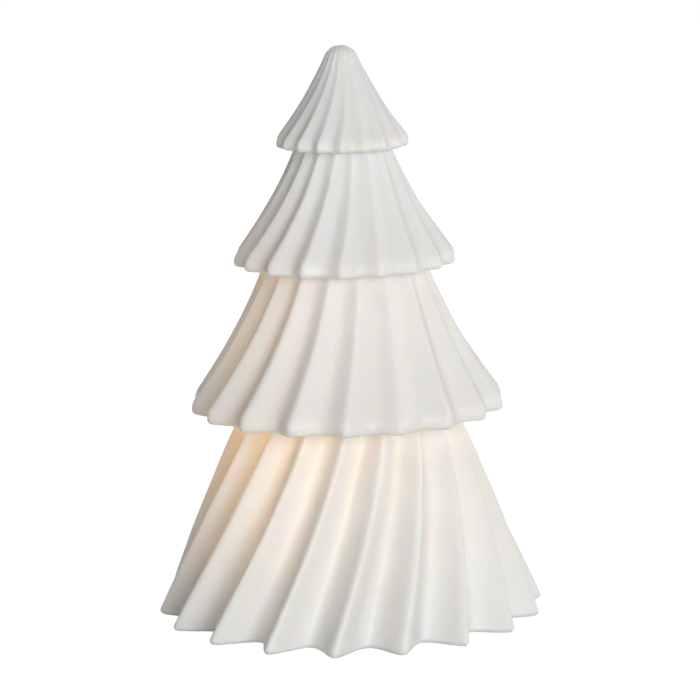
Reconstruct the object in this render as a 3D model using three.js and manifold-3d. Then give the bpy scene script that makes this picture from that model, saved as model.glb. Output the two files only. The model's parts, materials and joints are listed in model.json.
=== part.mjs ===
// Wax LED Christmas tree: a hollow cast wax tree of four fluted, twisted tiers that stands over a
// round battery unit, whose one warm white light shines from a stem inside the wax.
// Millimetres, +Z up, origin at the centre of the foot. The front faces -Y.
import * as THREE from 'three';
import { mergeVertices } from 'three/addons/utils/BufferGeometryUtils.js';
import Module from 'manifold-3d';

const wasm = await Module();
wasm.setup();

// Fits shared by all pieces
const gap = 0.3;                  // between a piece and its seat
const cutPast = 1;                // how far a cutting shape runs past the face it opens

// Wax tree
const treeHeight = 180;
const ribCount = 18;
const pointsPerRib = 6;
const ribPower = 1.3;             // 1 is a sharp crest, and 2 a wave as round at crest as at valley
const steepShare = 0.42;          // of a rib's width, taken by the steep flank on its left
const edgeRound = 1.5;            // rounding under each rim and round the foot
const waistWall = 6.3;            // wax between a valley and the light chamber at each waist
const seatWidth = 2.5;            // ledge over the battery unit, which the unit meets
const coneTopDrop = 6;            // height of the domed top of the light chamber
const chamberRise = 3;            // how far the chamber reaches above the second tier's underside
const tipRadius = 5.5;            // ball that rounds the tip
const tipSlope = 26;              // degrees that the last tier's side leans where the ball begins

// Each tier runs from its underside (low) up to the underside of the next. It is widest on a band
// above its rim, and every width is measured at the crests. Flare is how far the slope sags
// inwards at mid height, depth how far the valleys lie behind the crests, phase where the
// crests stand at the rim, and twist how far they turn on the way up, both in degrees.
// Fade above 1 lets the flutes run out lower down.
const footTier = {
  low: 0, band: 1.6, wide: 61.3, top: 34.3, flare: 0.15,
  wideDepth: 10.5, topDepth: 4, phase: -5.2, twist: 18.8, fade: 1, steps: 5,
};
const lowerTier = {
  low: 65.2, band: 4, wide: 49.6, top: 25.7, flare: 1.9,
  wideDepth: 4.5, topDepth: 2, phase: -2.4, twist: 10.5, fade: 1, steps: 4,
};
const middleTier = {
  low: 111.5, band: 3.4, wide: 35.1, top: 15.2, flare: 1.6,
  wideDepth: 3, topDepth: 1.2, phase: -1.2, twist: 11, fade: 1, steps: 3,
};
const topTier = {
  low: 148.2, band: 2.8, wide: 21, top: tipRadius * Math.cos(THREE.MathUtils.degToRad(tipSlope)),
  flare: 1.1, wideDepth: 2, topDepth: 0.3, phase: -1, twist: 12, fade: 3, steps: 4,
};
const tiers = [footTier, lowerTier, middleTier, topTier];

// Round housing of the battery unit
const unitRadius = 36;
const unitRecess = 1.5;           // the unit's underside above the table
const unitWall = 1.6;
const floorThick = 1.6;
const housingHeight = 22.7;       // from its underside to the seat of the cover
const roundSides = 36;

// Cells and their compartment, which opens downwards
const cellCount = 3;
const cellRadius = 5.25;
const cellLength = 44.5;
const cellPitch = 11.3;
const nubRadius = 1.9;
const nubLength = 0.8;
const cellSides = 20;
const bayWall = 1.4;
const baySideGap = 0.7;           // between the outer cells and the bay's side walls
const dividerWidth = 1.6;
const dividerDrop = 2.6;
const dividerLength = 24;

// Contacts and springs at the ends of the bay
const contactThick = 0.4;
const contactWidth = 9;
const contactHeight = 6;
const pipRadius = 1.6;
const pipHeight = 0.5;
const tailWidth = 3;
const tailRise = 2.2;             // how far a solder tail stands above the bay
const springWire = 0.8;
const springLength = 5.2;
const springBaseRadius = 2.6;
const springTipRadius = 1.7;
const springTurns = 3.5;
const springStepsPerTurn = 8;
const springSides = 5;

// Battery door, which tilts out about two tabs at its -X end
const doorGap = 0.15;
const doorEdgeRound = 0.3;        // lower edge at the tabs, on which the door rocks
const edgeSides = 16;
const tabWidth = 4;
const tabReach = 2;
const tabThick = 1.2;
const tabWindowHeight = 2.6;
const noseWidth = 8;
const noseReach = 1.3;
const noseThick = 1.2;
const thumbRadius = 3.4;
const thumbDepth = 0.9;
const tongueLength = 7;
const slitWidth = 0.6;

// Cover with the stem of the light
const coverThick = 1.6;
const skirtHeight = 2;
const skirtThick = 1;
const stemBaseRadius = 7;
const stemFilletHeight = 3;
const stemRadius = 4.8;
const stemTipRadius = 3.8;
const stemBore = 2.3;
const stemHeight = 20;            // above the cover's upper face

// Light: a domed 5 mm lamp with two legs
const lampRadius = 2.5;
const lampFlangeRadius = 2.95;
const lampFlange = 1;
const lampHeight = 8.6;
const legPitch = 2.54;
const legSide = 0.6;
const legLength = 9;

// Screws
const coverScrewRadius = 1.1;
const coverScrewLength = 8;
const coverScrewHeadRadius = 2;
const coverScrewHeadHeight = 1.4;
const boardScrewRadius = 0.8;
const boardScrewLength = 3.6;
const boardScrewHeadRadius = 1.6;
const boardScrewHeadHeight = 1.1;
const screwSides = 10;
const screwRecessDepth = 0.6;     // of the head's height
const screwRecessReach = 0.6;     // of the head's radius, as is the next width
const screwRecessWidth = 0.15;
const bossWall = 1.2;
const bossX = 19;
const bossY = 23.5;

// Circuit board, timer parts and switch, beside the bay
const boardLength = 26;
const boardWidth = 10;
const boardThick = 1.2;
const boardGap = 0.65;            // from the bay's side wall to the board
const boardScrewX = 10;
const switchLength = 8.6;
const switchWidth = 4.4;
const switchHeight = 3.6;
const knobLength = 2.2;
const knobWidth = 1.5;
const knobProud = 0.9;            // how far the knob stands below the unit's underside
const knobTravel = 4;             // on, off and timer, 2 mm apart
const switchDishLength = 14;
const switchDishWidth = 7;
const switchDishDepth = 0.7;
const switchSlotDepth = 2;
const chipSize = [4.9, 3.9, 1.5];
const chipPlace = [-4, 0.6];      // from the board's centre, as are the next places
const chipLegs = 4;
const chipLegWidth = 0.5;
const chipLegReach = 1;
const chipLegPitch = 1.27;
const chipLift = 0.2;             // between the chip's body and the feet of its legs
const crystalRadius = 1;
const crystalLength = 6;
const crystalPlace = [3.8, 2.9];
const crystalWireReach = 1;
const resistorRadius = 0.95;
const resistorLength = 3.4;
const resistorNeck = 0.78;
const resistorCap = 1.1;          // length of the thicker part at each end
const resistorSpan = 5.8;         // between its bent wires
const resistorPlace = [3.6, -0.9];
const componentWire = 0.25;       // radius of a component's own wires
const componentSides = 10;

// Insulated leads
const leadRadius = 0.6;
const leadSides = 6;
const cellLeadSteps = 18;
const lampLeadSteps = 24;
const lampLeadX = 2.2;            // where the lamp's leads meet the board
const cellLeadX = 8.2;
const leadBoardY = 1.4;           // from the board's inner edge
const leadDrop = 4;               // from over the bay to the straight end on the board
const leadShoulder = 1.6;         // height of the bend at the bay's edge
const lampLeadBend = 5;           // size of the bend where the lamp's leads leave the stem
const cellLeadBend = 4;

// Colours and finishes
const waxMaterial = material(0xefeae0, 0.55, 0);
const housingMaterial = material(0xf2f1ec, 0.5, 0);
const cellMaterial = material(0x3d4a57, 0.35, 0.4);
const metalMaterial = material(0xc9c9c6, 0.3, 1);
const boardMaterial = material(0x2f6b3c, 0.5, 0);
const blackMaterial = material(0x1d1d1f, 0.5, 0);
const lampMaterial = material(0xffe2b0, 0.15, 0);
const resistorMaterial = material(0xd8c59a, 0.5, 0);
const redMaterial = material(0xb3261e, 0.5, 0);

// Heights and places that follow from the sizes above
const unitBottom = unitRecess;
const floorTop = unitBottom + floorThick;
const housingTop = unitBottom + housingHeight;
const coverBottom = housingTop + gap;
const coverTop = coverBottom + coverThick;
const recessTop = coverTop + gap;
const stemTop = coverTop + stemHeight;
const cellZ = floorTop + gap + cellRadius;
const bayCeiling = cellZ + cellRadius + gap;
const bayTop = bayCeiling + bayWall;
const bayHalfWidth = ((cellCount - 1) / 2) * cellPitch + cellRadius + baySideGap;
const contactInner = (cellLength + pipHeight + 2 * gap + springLength + gap) / 2;
const contactOuter = contactInner + contactThick;
const bayHalfLength = contactOuter + gap;
const boardBottom = floorTop + switchHeight + 2 * gap;
const boardTop = boardBottom + boardThick;
const boardY = bayHalfWidth + bayWall + boardGap + boardWidth / 2;
const tabZ = floorTop + gap;
const tabY = cellPitch / 2;
const doorPivot = [-bayHalfLength + doorGap + doorEdgeRound, unitBottom + doorEdgeRound];
const knobRestX = -knobTravel / 2;

function material(color, roughness, metalness) {
  return new THREE.MeshStandardMaterial({ color, roughness, metalness });
}

// Turns a closed three.js geometry into a solid that can be joined and cut
function solid(geometry) {
  const bare = geometry.clone();
  bare.deleteAttribute('normal');
  bare.deleteAttribute('uv');
  const merged = mergeVertices(bare, 1e-4);
  return new wasm.Manifold(new wasm.Mesh({
    numProp: 3,
    vertProperties: new Float32Array(merged.attributes.position.array),
    triVerts: new Uint32Array(merged.index.array),
  }));
}

function geometryOf(body) {
  const mesh = body.getMesh();
  const geometry = new THREE.BufferGeometry();
  geometry.setAttribute('position', new THREE.BufferAttribute(new Float32Array(mesh.vertProperties), 3));
  geometry.setIndex(new THREE.BufferAttribute(new Uint32Array(mesh.triVerts), 1));
  return geometry;
}

function block([x0, x1], [y0, y1], [z0, z1]) {
  const box = new THREE.BoxGeometry(x1 - x0, y1 - y0, z1 - z0);
  return solid(box.translate((x0 + x1) / 2, (y0 + y1) / 2, (z0 + z1) / 2));
}

// A solid of revolution about the vertical line through (x, y), from [radius, height] points
function turned(points, sides = roundSides, x = 0, y = 0) {
  const profile = points.map(([radius, height]) => new THREE.Vector2(radius, height));
  const lathe = new THREE.LatheGeometry(profile, sides);
  return solid(lathe.rotateX(Math.PI / 2).translate(x, y, 0));
}

function rod(radius, z0, z1, x = 0, y = 0, sides = 24) {
  return turned([[0, z0], [radius, z0], [radius, z1], [0, z1]], sides, x, y);
}

// A flat-ended slot along X with round ends
function slot(length, width, z0, z1, x, y) {
  const shape = new THREE.Shape();
  const half = (length - width) / 2;
  shape.absarc(half, 0, width / 2, -Math.PI / 2, Math.PI / 2, false);
  shape.absarc(-half, 0, width / 2, Math.PI / 2, 3 * Math.PI / 2, false);
  const geometry = new THREE.ExtrudeGeometry(shape, { depth: z1 - z0, bevelEnabled: false, curveSegments: 8 });
  return solid(geometry.translate(x, y, z0));
}

function tube(points, radius, sides, steps) {
  const section = new THREE.Shape();
  for (let i = 0; i < sides; i += 1) {
    const angle = (i / sides) * 2 * Math.PI;
    const corner = [radius * Math.cos(angle), radius * Math.sin(angle)];
    if (i === 0) section.moveTo(...corner);
    else section.lineTo(...corner);
  }
  section.closePath();
  const path = new THREE.CatmullRomCurve3(points.map((point) => new THREE.Vector3(...point)), false, 'centripetal');
  return solid(new THREE.ExtrudeGeometry(section, { steps, extrudePath: path, bevelEnabled: false }));
}

// Closed skin over a stack of rings with equal numbers of points, from the lowest to the highest
function loft(rings, lowCentre, highCentre) {
  const count = rings[0].length;
  const points = [...rings.flat(), lowCentre, highCentre];
  const lowIndex = rings.length * count;
  const highRing = (rings.length - 1) * count;
  const faces = [];
  for (let j = 0; j < count; j += 1) {
    const next = (j + 1) % count;
    faces.push(lowIndex, next, j);
    for (let i = 0; i < rings.length - 1; i += 1) {
      const low = i * count;
      const high = low + count;
      faces.push(low + j, low + next, high + next);
      faces.push(low + j, high + next, high + j);
    }
    faces.push(highRing + j, highRing + next, lowIndex + 1);
  }
  const geometry = new THREE.BufferGeometry();
  geometry.setAttribute('position', new THREE.Float32BufferAttribute(points.flat(), 3));
  geometry.setIndex(faces);
  return solid(geometry);
}

// One level of the fluted wax: a ring whose crests stand at the given radius. Each rib falls
// steeply to the valley on its left and gently to the one on its right.
function flutedRing(height, crestRadius, depth, phase) {
  const count = ribCount * pointsPerRib;
  return Array.from({ length: count }, (_, j) => {
    const turn = (j / count) * 2 * Math.PI;
    const along = (j % pointsPerRib) / pointsPerRib;
    const share = along < 1 - steepShare ? along / (1 - steepShare) : (1 - along) / steepShare;
    const drop = Math.sin((share * Math.PI) / 2) ** ribPower;
    const radius = crestRadius - depth * drop;
    const angle = turn + THREE.MathUtils.degToRad(phase);
    return [radius * Math.sin(angle), -radius * Math.cos(angle), height];
  });
}

// The levels of one tier: its rounded lower edge, its band, and the slope up to the next tier
function tierRings(tier, topHeight) {
  const { low, band, wide, top, flare, wideDepth, topDepth, phase, twist, fade, steps } = tier;
  const round = Math.min(edgeRound, band);
  const corner = round * (1 - Math.SQRT1_2);
  const rings = [
    flutedRing(low, wide - round, wideDepth, phase),
    flutedRing(low + corner, wide - corner, wideDepth, phase),
  ];
  if (band > round + gap) rings.push(flutedRing(low + round, wide, wideDepth, phase));
  for (let i = 0; i <= steps; i += 1) {
    const share = i / steps;
    const radius = THREE.MathUtils.lerp(wide, top, share) - 4 * flare * share * (1 - share);
    const height = THREE.MathUtils.lerp(low + band, topHeight, share);
    const depth = THREE.MathUtils.lerp(topDepth, wideDepth, (1 - share) ** fade);
    rings.push(flutedRing(height, radius, depth, phase + twist * share));
  }
  return rings;
}

function waxBody() {
  const ballHeight = treeHeight - tipRadius;
  const slope = THREE.MathUtils.degToRad(tipSlope);
  const tops = [...tiers.slice(1).map((tier) => tier.low), ballHeight + tipRadius * Math.sin(slope)];
  const rings = tiers.flatMap((tier, i) => tierRings(tier, tops[i]));
  for (const share of [1 / 3, 2 / 3]) {
    const angle = THREE.MathUtils.lerp(slope, Math.PI / 2, share);
    const height = ballHeight + tipRadius * Math.sin(angle);
    rings.push(flutedRing(height, tipRadius * Math.cos(angle), 0, topTier.phase + topTier.twist));
  }
  return loft(rings, [0, 0, 0], [0, 0, treeHeight]).subtract(lightChamber());
}

// The hollow in the wax: a round recess for the battery unit, a ledge over it, and a tapering
// chamber that stays one wall's thickness behind the valleys of the two lower waists
function lightChamber() {
  const waistRadius = (tier) => tier.top - tier.topDepth - waistWall;
  const chamberTop = middleTier.low + chamberRise;
  const coneTop = chamberTop - coneTopDrop;
  const coneShare = (coneTop - lowerTier.low) / (middleTier.low - lowerTier.low);
  const coneRadius = THREE.MathUtils.lerp(waistRadius(footTier), waistRadius(lowerTier), coneShare);
  const profile = [
    [0, -cutPast], [unitRadius + gap, -cutPast], [unitRadius + gap, recessTop],
    [unitRadius + gap - seatWidth, recessTop], [waistRadius(footTier), lowerTier.low], [coneRadius, coneTop],
  ];
  for (const angle of [Math.PI / 6, Math.PI / 3]) {
    profile.push([coneRadius * Math.cos(angle), coneTop + coneTopDrop * Math.sin(angle)]);
  }
  profile.push([0, chamberTop]);
  return turned(profile);
}

const bossPlaces = [[-bossX, -bossY], [bossX, -bossY], [bossX, bossY], [-bossX, bossY]];
const boardPosts = [-boardScrewX, boardScrewX];

// Moulded round case. Its floor carries the cell bay, the board's posts and the cover's bosses.
function baseHousing() {
  const innerRadius = unitRadius - unitWall;
  const bossRadius = coverScrewRadius + gap + bossWall;
  const postRadius = boardScrewRadius + gap + bossWall;
  const pilotFloor = housingTop - coverScrewLength - gap;
  const outerLength = bayHalfLength + bayWall;
  const outerWidth = bayHalfWidth + bayWall;
  let body = rod(unitRadius, unitBottom, housingTop, 0, 0, roundSides)
    .subtract(rod(innerRadius, floorTop, housingTop + cutPast, 0, 0, roundSides))
    .add(block([-outerLength, outerLength], [-outerWidth, outerWidth], [unitBottom, bayTop]));
  for (const [x, y] of bossPlaces) body = body.add(rod(bossRadius, unitBottom, housingTop, x, y, 16));
  for (const x of boardPosts) body = body.add(rod(postRadius, unitBottom, boardBottom - gap, x, boardY, 16));
  body = body.subtract(block([-bayHalfLength, bayHalfLength], [-bayHalfWidth, bayHalfWidth],
    [unitBottom - cutPast, bayCeiling]));
  for (let i = 0; i < cellCount - 1; i += 1) {
    const y = (i - (cellCount - 2) / 2) * cellPitch;
    body = body.add(block([-dividerLength / 2, dividerLength / 2],
      [y - dividerWidth / 2, y + dividerWidth / 2], [bayCeiling - dividerDrop, bayTop]));
  }
  for (const [x, y] of bossPlaces) {
    body = body.subtract(rod(coverScrewRadius + gap, pilotFloor, housingTop + cutPast, x, y, screwSides));
  }
  for (const x of boardPosts) {
    body = body.subtract(rod(boardScrewRadius + gap, floorTop, boardBottom, x, boardY, screwSides));
  }
  return body.subtract(doorCuts()).subtract(switchCuts()).subtract(tailSlots());
}

// Windows for the door's tabs, and the notch and thumb dish at its latch
function doorCuts() {
  const windowTop = floorTop + tabWindowHeight;
  const windows = [-tabY, tabY].map((y) => block([-bayHalfLength - bayWall - cutPast, -bayHalfLength + gap],
    [y - tabWidth / 2 - gap, y + tabWidth / 2 + gap], [floorTop, windowTop]));
  const notch = block([bayHalfLength - gap, bayHalfLength + noseReach + gap],
    [-noseWidth / 2 - gap, noseWidth / 2 + gap], [unitBottom - cutPast, unitBottom + noseThick + gap]);
  const dishX = bayHalfLength + noseReach + gap;
  const dish = rod(thumbRadius, unitBottom - cutPast, unitBottom + thumbDepth, dishX, 0, 24);
  return windows[0].add(windows[1]).add(notch).add(dish);
}

function switchCuts() {
  const window = block([-(knobLength + knobTravel) / 2 - gap, (knobLength + knobTravel) / 2 + gap],
    [boardY - knobWidth / 2 - gap, boardY + knobWidth / 2 + gap], [unitBottom - cutPast, floorTop + cutPast]);
  const dish = slot(switchDishLength, switchDishWidth, unitBottom - cutPast,
    unitBottom + switchDishDepth, 0, boardY);
  return window.add(dish);
}

// Slots in the bay's ceiling for the solder tails of the two end contacts
function tailSlots() {
  const places = contactPlaces().filter((place) => place.cells.length === 1);
  const cuts = places.map(({ side, cells }) => {
    const x = side * (contactInner + contactThick / 2);
    const y = cellY(cells[0]);
    const halfThick = contactThick / 2 + gap;
    const halfWidth = tailWidth / 2 + gap;
    return block([x - halfThick, x + halfThick], [y - halfWidth, y + halfWidth],
      [bayCeiling - cutPast, bayTop + cutPast]);
  });
  return cuts[0].add(cuts[1]);
}

// Door plate, level with the unit's underside, with two hinge tabs and a latch nose
function batteryDoor() {
  const halfLength = bayHalfLength - doorGap;
  const halfWidth = bayHalfWidth - doorGap;
  const [pivotX, pivotZ] = doorPivot;
  const edge = new THREE.CylinderGeometry(doorEdgeRound, doorEdgeRound, 2 * halfWidth, edgeSides);
  let body = block([pivotX, halfLength], [-halfWidth, halfWidth], [unitBottom, floorTop])
    .add(block([-halfLength, pivotX], [-halfWidth, halfWidth], [pivotZ, floorTop]))
    .add(solid(edge.translate(pivotX, 0, pivotZ)));
  for (const y of [-tabY, tabY]) {
    const sides = [y - tabWidth / 2, y + tabWidth / 2];
    body = body.add(block([-halfLength, -halfLength + tabThick], sides, [pivotZ, tabZ + tabThick]));
    body = body.add(block([-halfLength - tabReach, -halfLength + tabThick], sides, [tabZ, tabZ + tabThick]));
  }
  const nose = block([halfLength - noseReach, bayHalfLength + noseReach],
    [-noseWidth / 2, noseWidth / 2], [unitBottom, unitBottom + noseThick]);
  return body.add(nose).subtract(latchSlits());
}

// Two slits that free the latch tongue, so that it can bend when the nose is pressed
function latchSlits() {
  const end = bayHalfLength + cutPast;
  const slits = [-1, 1].map((side) => {
    const y = side * (noseWidth / 2 + slitWidth / 2);
    return block([bayHalfLength - tongueLength, end], [y - slitWidth / 2, y + slitWidth / 2],
      [unitBottom - cutPast, floorTop + cutPast]);
  });
  return slits[0].add(slits[1]);
}

function cellY(index) {
  return (index - (cellCount - 1) / 2) * cellPitch;
}

// Neighbouring cells point opposite ways: +1 has its plus pole towards +X
function cellSide(index) {
  return index % 2 === 0 ? 1 : -1;
}

// A cell stands its plus pole off its contact's pip, and its spring fills the other end
function cell() {
  const bevel = nubLength;
  const can = cellLength - nubLength;
  return turned([
    [0, 0], [cellRadius - bevel, 0], [cellRadius, bevel], [cellRadius, can - bevel],
    [cellRadius - bevel, can], [nubRadius, can], [nubRadius, cellLength], [0, cellLength],
  ], cellSides);
}

// Contacts from one end of the series to the other: end contacts hold one cell, bridges two
function contactPlaces() {
  const places = [{ side: -cellSide(0), cells: [0] }];
  for (let i = 0; i < cellCount - 1; i += 1) places.push({ side: cellSide(i), cells: [i, i + 1] });
  places.push({ side: cellSide(cellCount - 1), cells: [cellCount - 1] });
  return places;
}

// Sheet metal plate on a bay's end wall, with a pip for each plus pole that it meets
function contact({ side, cells }) {
  const ys = cells.map(cellY);
  const xs = [side * contactInner, side * contactOuter].sort((a, b) => a - b);
  const bottom = cellZ - contactHeight / 2;
  let body = block(xs, [Math.min(...ys) - contactWidth / 2, Math.max(...ys) + contactWidth / 2],
    [bottom, cellZ + contactHeight / 2]);
  if (cells.length === 1) {
    body = body.add(block(xs, [ys[0] - tailWidth / 2, ys[0] + tailWidth / 2], [cellZ, bayTop + tailRise]));
  }
  for (const index of cells.filter((item) => cellSide(item) === side)) {
    const pip = solid(new THREE.CylinderGeometry(pipRadius / 2, pipRadius, pipHeight + contactThick / 2, 12)
      .rotateZ(side * Math.PI / 2)
      .translate(side * (contactInner - pipHeight / 2 + contactThick / 4), cellY(index), cellZ));
    body = body.add(pip);
  }
  return body;
}

// Points along the middle of a spring's wire, from its wide end to its tip
function springCentres() {
  const steps = Math.round(springTurns * springStepsPerTurn);
  return Array.from({ length: steps + 1 }, (_, i) => {
    const share = i / steps;
    const angle = share * springTurns * 2 * Math.PI;
    const radius = THREE.MathUtils.lerp(springBaseRadius, springTipRadius, share);
    const height = springWire / 2 + share * (springLength - springWire);
    return new THREE.Vector3(radius * Math.cos(angle), radius * Math.sin(angle), height);
  });
}

// Least clear distance between a spring's turns, measured on the points of its wire
function springTurnGap() {
  const centres = springCentres();
  const halfTurn = springStepsPerTurn / 2;
  const spans = centres.flatMap((from, i) => centres.slice(i + halfTurn).map((to) => from.distanceTo(to)));
  return Math.min(...spans) - springWire;
}

// Cone-shaped spring wound from one wire, standing on the contact at its wide end
function spring() {
  const centres = springCentres();
  const steps = centres.length - 1;
  const rings = centres.map((centre, i) => {
    const outward = new THREE.Vector3(centre.x, centre.y, 0).normalize();
    const ahead = centres[Math.min(i + 1, steps)].clone().sub(centres[Math.max(i - 1, 0)]).normalize();
    const across = new THREE.Vector3().crossVectors(ahead, outward).normalize();
    return Array.from({ length: springSides }, (_, j) => {
      const turn = ((j + 0.25) / springSides) * 2 * Math.PI;
      return centre.clone()
        .addScaledVector(outward, (springWire / 2) * Math.cos(turn))
        .addScaledVector(across, (springWire / 2) * Math.sin(turn))
        .toArray();
    });
  });
  return loft(rings, centres[0].toArray(), centres[steps].toArray());
}

// Cover that closes the housing, turned in one piece with the stem of the light
function upperCover() {
  const skirtOuter = unitRadius - unitWall - gap;
  let body = turned([
    [stemBore, coverBottom], [skirtOuter - skirtThick, coverBottom],
    [skirtOuter - skirtThick, coverBottom - skirtHeight], [skirtOuter, coverBottom - skirtHeight],
    [skirtOuter, coverBottom], [unitRadius, coverBottom], [unitRadius, coverTop],
    [stemBaseRadius, coverTop], [stemRadius + (stemBaseRadius - stemRadius) / 3, coverTop + stemFilletHeight / 3],
    [stemRadius, coverTop + stemFilletHeight], [stemTipRadius, stemTop], [stemBore, stemTop],
    [stemBore, coverBottom],
  ]);
  for (const [x, y] of bossPlaces) {
    body = body.subtract(rod(coverScrewRadius + gap, coverBottom - cutPast, coverTop + cutPast, x, y, screwSides));
  }
  return body;
}

// Clear domed lamp with a collar round its foot
function lampLens() {
  const domeBase = lampHeight - lampRadius;
  const profile = [
    [0, 0], [lampFlangeRadius, 0], [lampFlangeRadius, lampFlange], [lampRadius, lampFlange],
    [lampRadius, domeBase],
  ];
  for (const angle of [Math.PI / 8, Math.PI / 4, 3 * Math.PI / 8]) {
    profile.push([lampRadius * Math.cos(angle), domeBase + lampRadius * Math.sin(angle)]);
  }
  profile.push([0, lampHeight]);
  return turned(profile, 20);
}

function lampLeg() {
  return block([-legSide / 2, legSide / 2], [-legSide / 2, legSide / 2], [-legLength, 0]);
}

// Pan head screw with a cross recess, its head standing on height 0
function screw(radius, length, headRadius, headHeight) {
  const body = turned([
    [0, -length], [radius * 0.4, -length], [radius, -length + 2 * radius], [radius, 0],
    [headRadius, 0], [headRadius, headHeight * 0.5], [headRadius * 0.7, headHeight * 0.9], [0, headHeight],
  ], screwSides);
  const recessFloor = headHeight * (1 - screwRecessDepth);
  const reach = headRadius * screwRecessReach;
  const half = headRadius * screwRecessWidth;
  return body
    .subtract(block([-half, half], [-reach, reach], [recessFloor, headHeight + cutPast]))
    .subtract(block([-reach, reach], [-half, half], [recessFloor, headHeight + cutPast]));
}

function circuitBoard() {
  let body = block([-boardLength / 2, boardLength / 2], [-boardWidth / 2, boardWidth / 2], [0, boardThick]);
  for (const x of boardPosts) {
    body = body.subtract(rod(boardScrewRadius + gap, -cutPast, boardThick + cutPast, x, 0, screwSides));
  }
  return body;
}

// Timer chip with bent legs along both long sides
function timerChip() {
  const [length, width, height] = chipSize;
  let body = block([-length / 2, length / 2], [-width / 2, width / 2], [chipLift, height]);
  for (let i = 0; i < chipLegs; i += 1) {
    const x = (i - (chipLegs - 1) / 2) * chipLegPitch;
    const span = [x - chipLegWidth / 2, x + chipLegWidth / 2];
    for (const side of [-1, 1]) {
      const reach = side * (width / 2 + chipLegReach);
      const knee = side * (width / 2 + chipLegReach / 2);
      const foot = [reach, side * width / 2].sort((a, b) => a - b);
      const shoulder = [knee, side * (width / 2 - chipLift)].sort((a, b) => a - b);
      body = body.add(block(span, foot, [0, chipLift]));
      body = body.add(block(span, shoulder, [0, height / 2]));
    }
  }
  return body;
}

// Small metal can on its side, with its two wires bent down to the board
function timerCrystal() {
  const can = solid(new THREE.CylinderGeometry(crystalRadius, crystalRadius, crystalLength, componentSides)
    .rotateZ(Math.PI / 2).translate(0, 0, crystalRadius));
  const end = -crystalLength / 2;
  const wire = [-1, 1].map((side) => {
    const y = side * crystalRadius / 2;
    const bend = end - crystalWireReach;
    return tube([[end + componentWire, y, crystalRadius], [bend + componentWire, y, crystalRadius], [bend, y, 0]],
      componentWire, leadSides, 6);
  });
  return can.add(wire[0]).add(wire[1]);
}

// Resistor lying on the board between its two bent wires
function lampResistor() {
  const half = resistorLength / 2;
  const waist = half - resistorCap;
  const body = turned([
    [0, -half], [resistorRadius, -half], [resistorRadius, -waist - componentWire], [resistorNeck, -waist],
    [resistorNeck, waist], [resistorRadius, waist + componentWire], [resistorRadius, half], [0, half],
  ], componentSides).rotate([0, 90, 0]).translate([0, 0, resistorRadius]);
  const reach = resistorSpan / 2;
  const bend = 2 * componentWire;
  const wire = tube([
    [-reach, 0, 0], [-reach, 0, resistorRadius - bend], [-reach + bend, 0, resistorRadius],
    [reach - bend, 0, resistorRadius], [reach, 0, resistorRadius - bend], [reach, 0, 0],
  ], componentWire, leadSides, 14);
  return body.add(wire);
}

// Slide switch: a box with a slot underneath, in which the knob's foot runs
function switchBody() {
  const slotHalf = (knobLength + knobTravel) / 2 + gap;
  return block([-switchLength / 2, switchLength / 2], [-switchWidth / 2, switchWidth / 2], [0, switchHeight])
    .subtract(block([-slotHalf, slotHalf], [-knobWidth / 2 - gap, knobWidth / 2 + gap],
      [-cutPast, switchSlotDepth]));
}

// Knob with three grip grooves on its tip, drawn at the middle of its travel
function switchKnob() {
  const tip = unitBottom - knobProud;
  const top = floorTop + switchSlotDepth;
  const grooveWidth = knobLength / 7;
  let body = block([-knobLength / 2, knobLength / 2], [-knobWidth / 2, knobWidth / 2], [tip, top]);
  for (const place of [-2, 0, 2]) {
    const x = place * grooveWidth;
    body = body.subtract(block([x - grooveWidth / 2, x + grooveWidth / 2],
      [-knobWidth, knobWidth], [tip - cutPast, tip + grooveWidth]));
  }
  return body;
}

// The end that all leads share: past the bay's edge, down its side and onto the board
function leadEnd(x, over) {
  const landing = boardY - boardWidth / 2 + leadBoardY;
  return [
    [x, landing - leadShoulder / 4, over - leadShoulder], [x, landing, over - leadDrop],
    [x, landing, boardTop + gap],
  ];
}

// Leads from the lamp's legs down the stem, over the bay and down to the board
function lampLead(side) {
  const legX = side * legPitch / 2;
  const boardX = side * lampLeadX;
  const over = bayTop + gap + 2 * leadRadius;
  const edge = bayHalfWidth + bayWall;
  return tube([
    [legX, 0, stemTop - legLength], [legX, 0, coverTop], [legX, leadRadius, over + lampLeadBend],
    [legX, lampLeadBend, over + leadRadius], [boardX, edge / 2, over], [boardX, edge - leadRadius, over],
    ...leadEnd(boardX, over),
  ], leadRadius, leadSides, lampLeadSteps);
}

// Leads from the solder tails of the end contacts, over the bay to the board
function cellLead({ side, cells }) {
  const tailX = side * (contactInner - gap - leadRadius);
  const tailY = cellY(cells[0]);
  const boardX = side * cellLeadX;
  const over = bayTop + gap + 1.5 * leadRadius;
  const edge = bayHalfWidth + bayWall;
  const bendY = (tailY + edge) / 2;
  return tube([
    [tailX, tailY, over], [tailX - side * cellLeadBend, tailY + leadRadius, over],
    [boardX + side * cellLeadBend, bendY, over], [boardX, edge - leadRadius, over],
    ...leadEnd(boardX, over),
  ], leadRadius, leadSides, cellLeadSteps);
}

const tree = new THREE.Group();

function place(name, body, finish, { at = [0, 0, 0], turn = [0, 0, 0], parent = tree } = {}) {
  const mesh = new THREE.Mesh(geometryOf(body), finish);
  mesh.name = name;
  mesh.position.set(...at);
  mesh.rotation.set(...turn);
  parent.add(mesh);
  return mesh;
}

place('wax_body', waxBody(), waxMaterial);
place('base_housing', baseHousing(), housingMaterial);
place('upper_cover', upperCover(), housingMaterial);
place('battery_door', batteryDoor(), housingMaterial);

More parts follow.
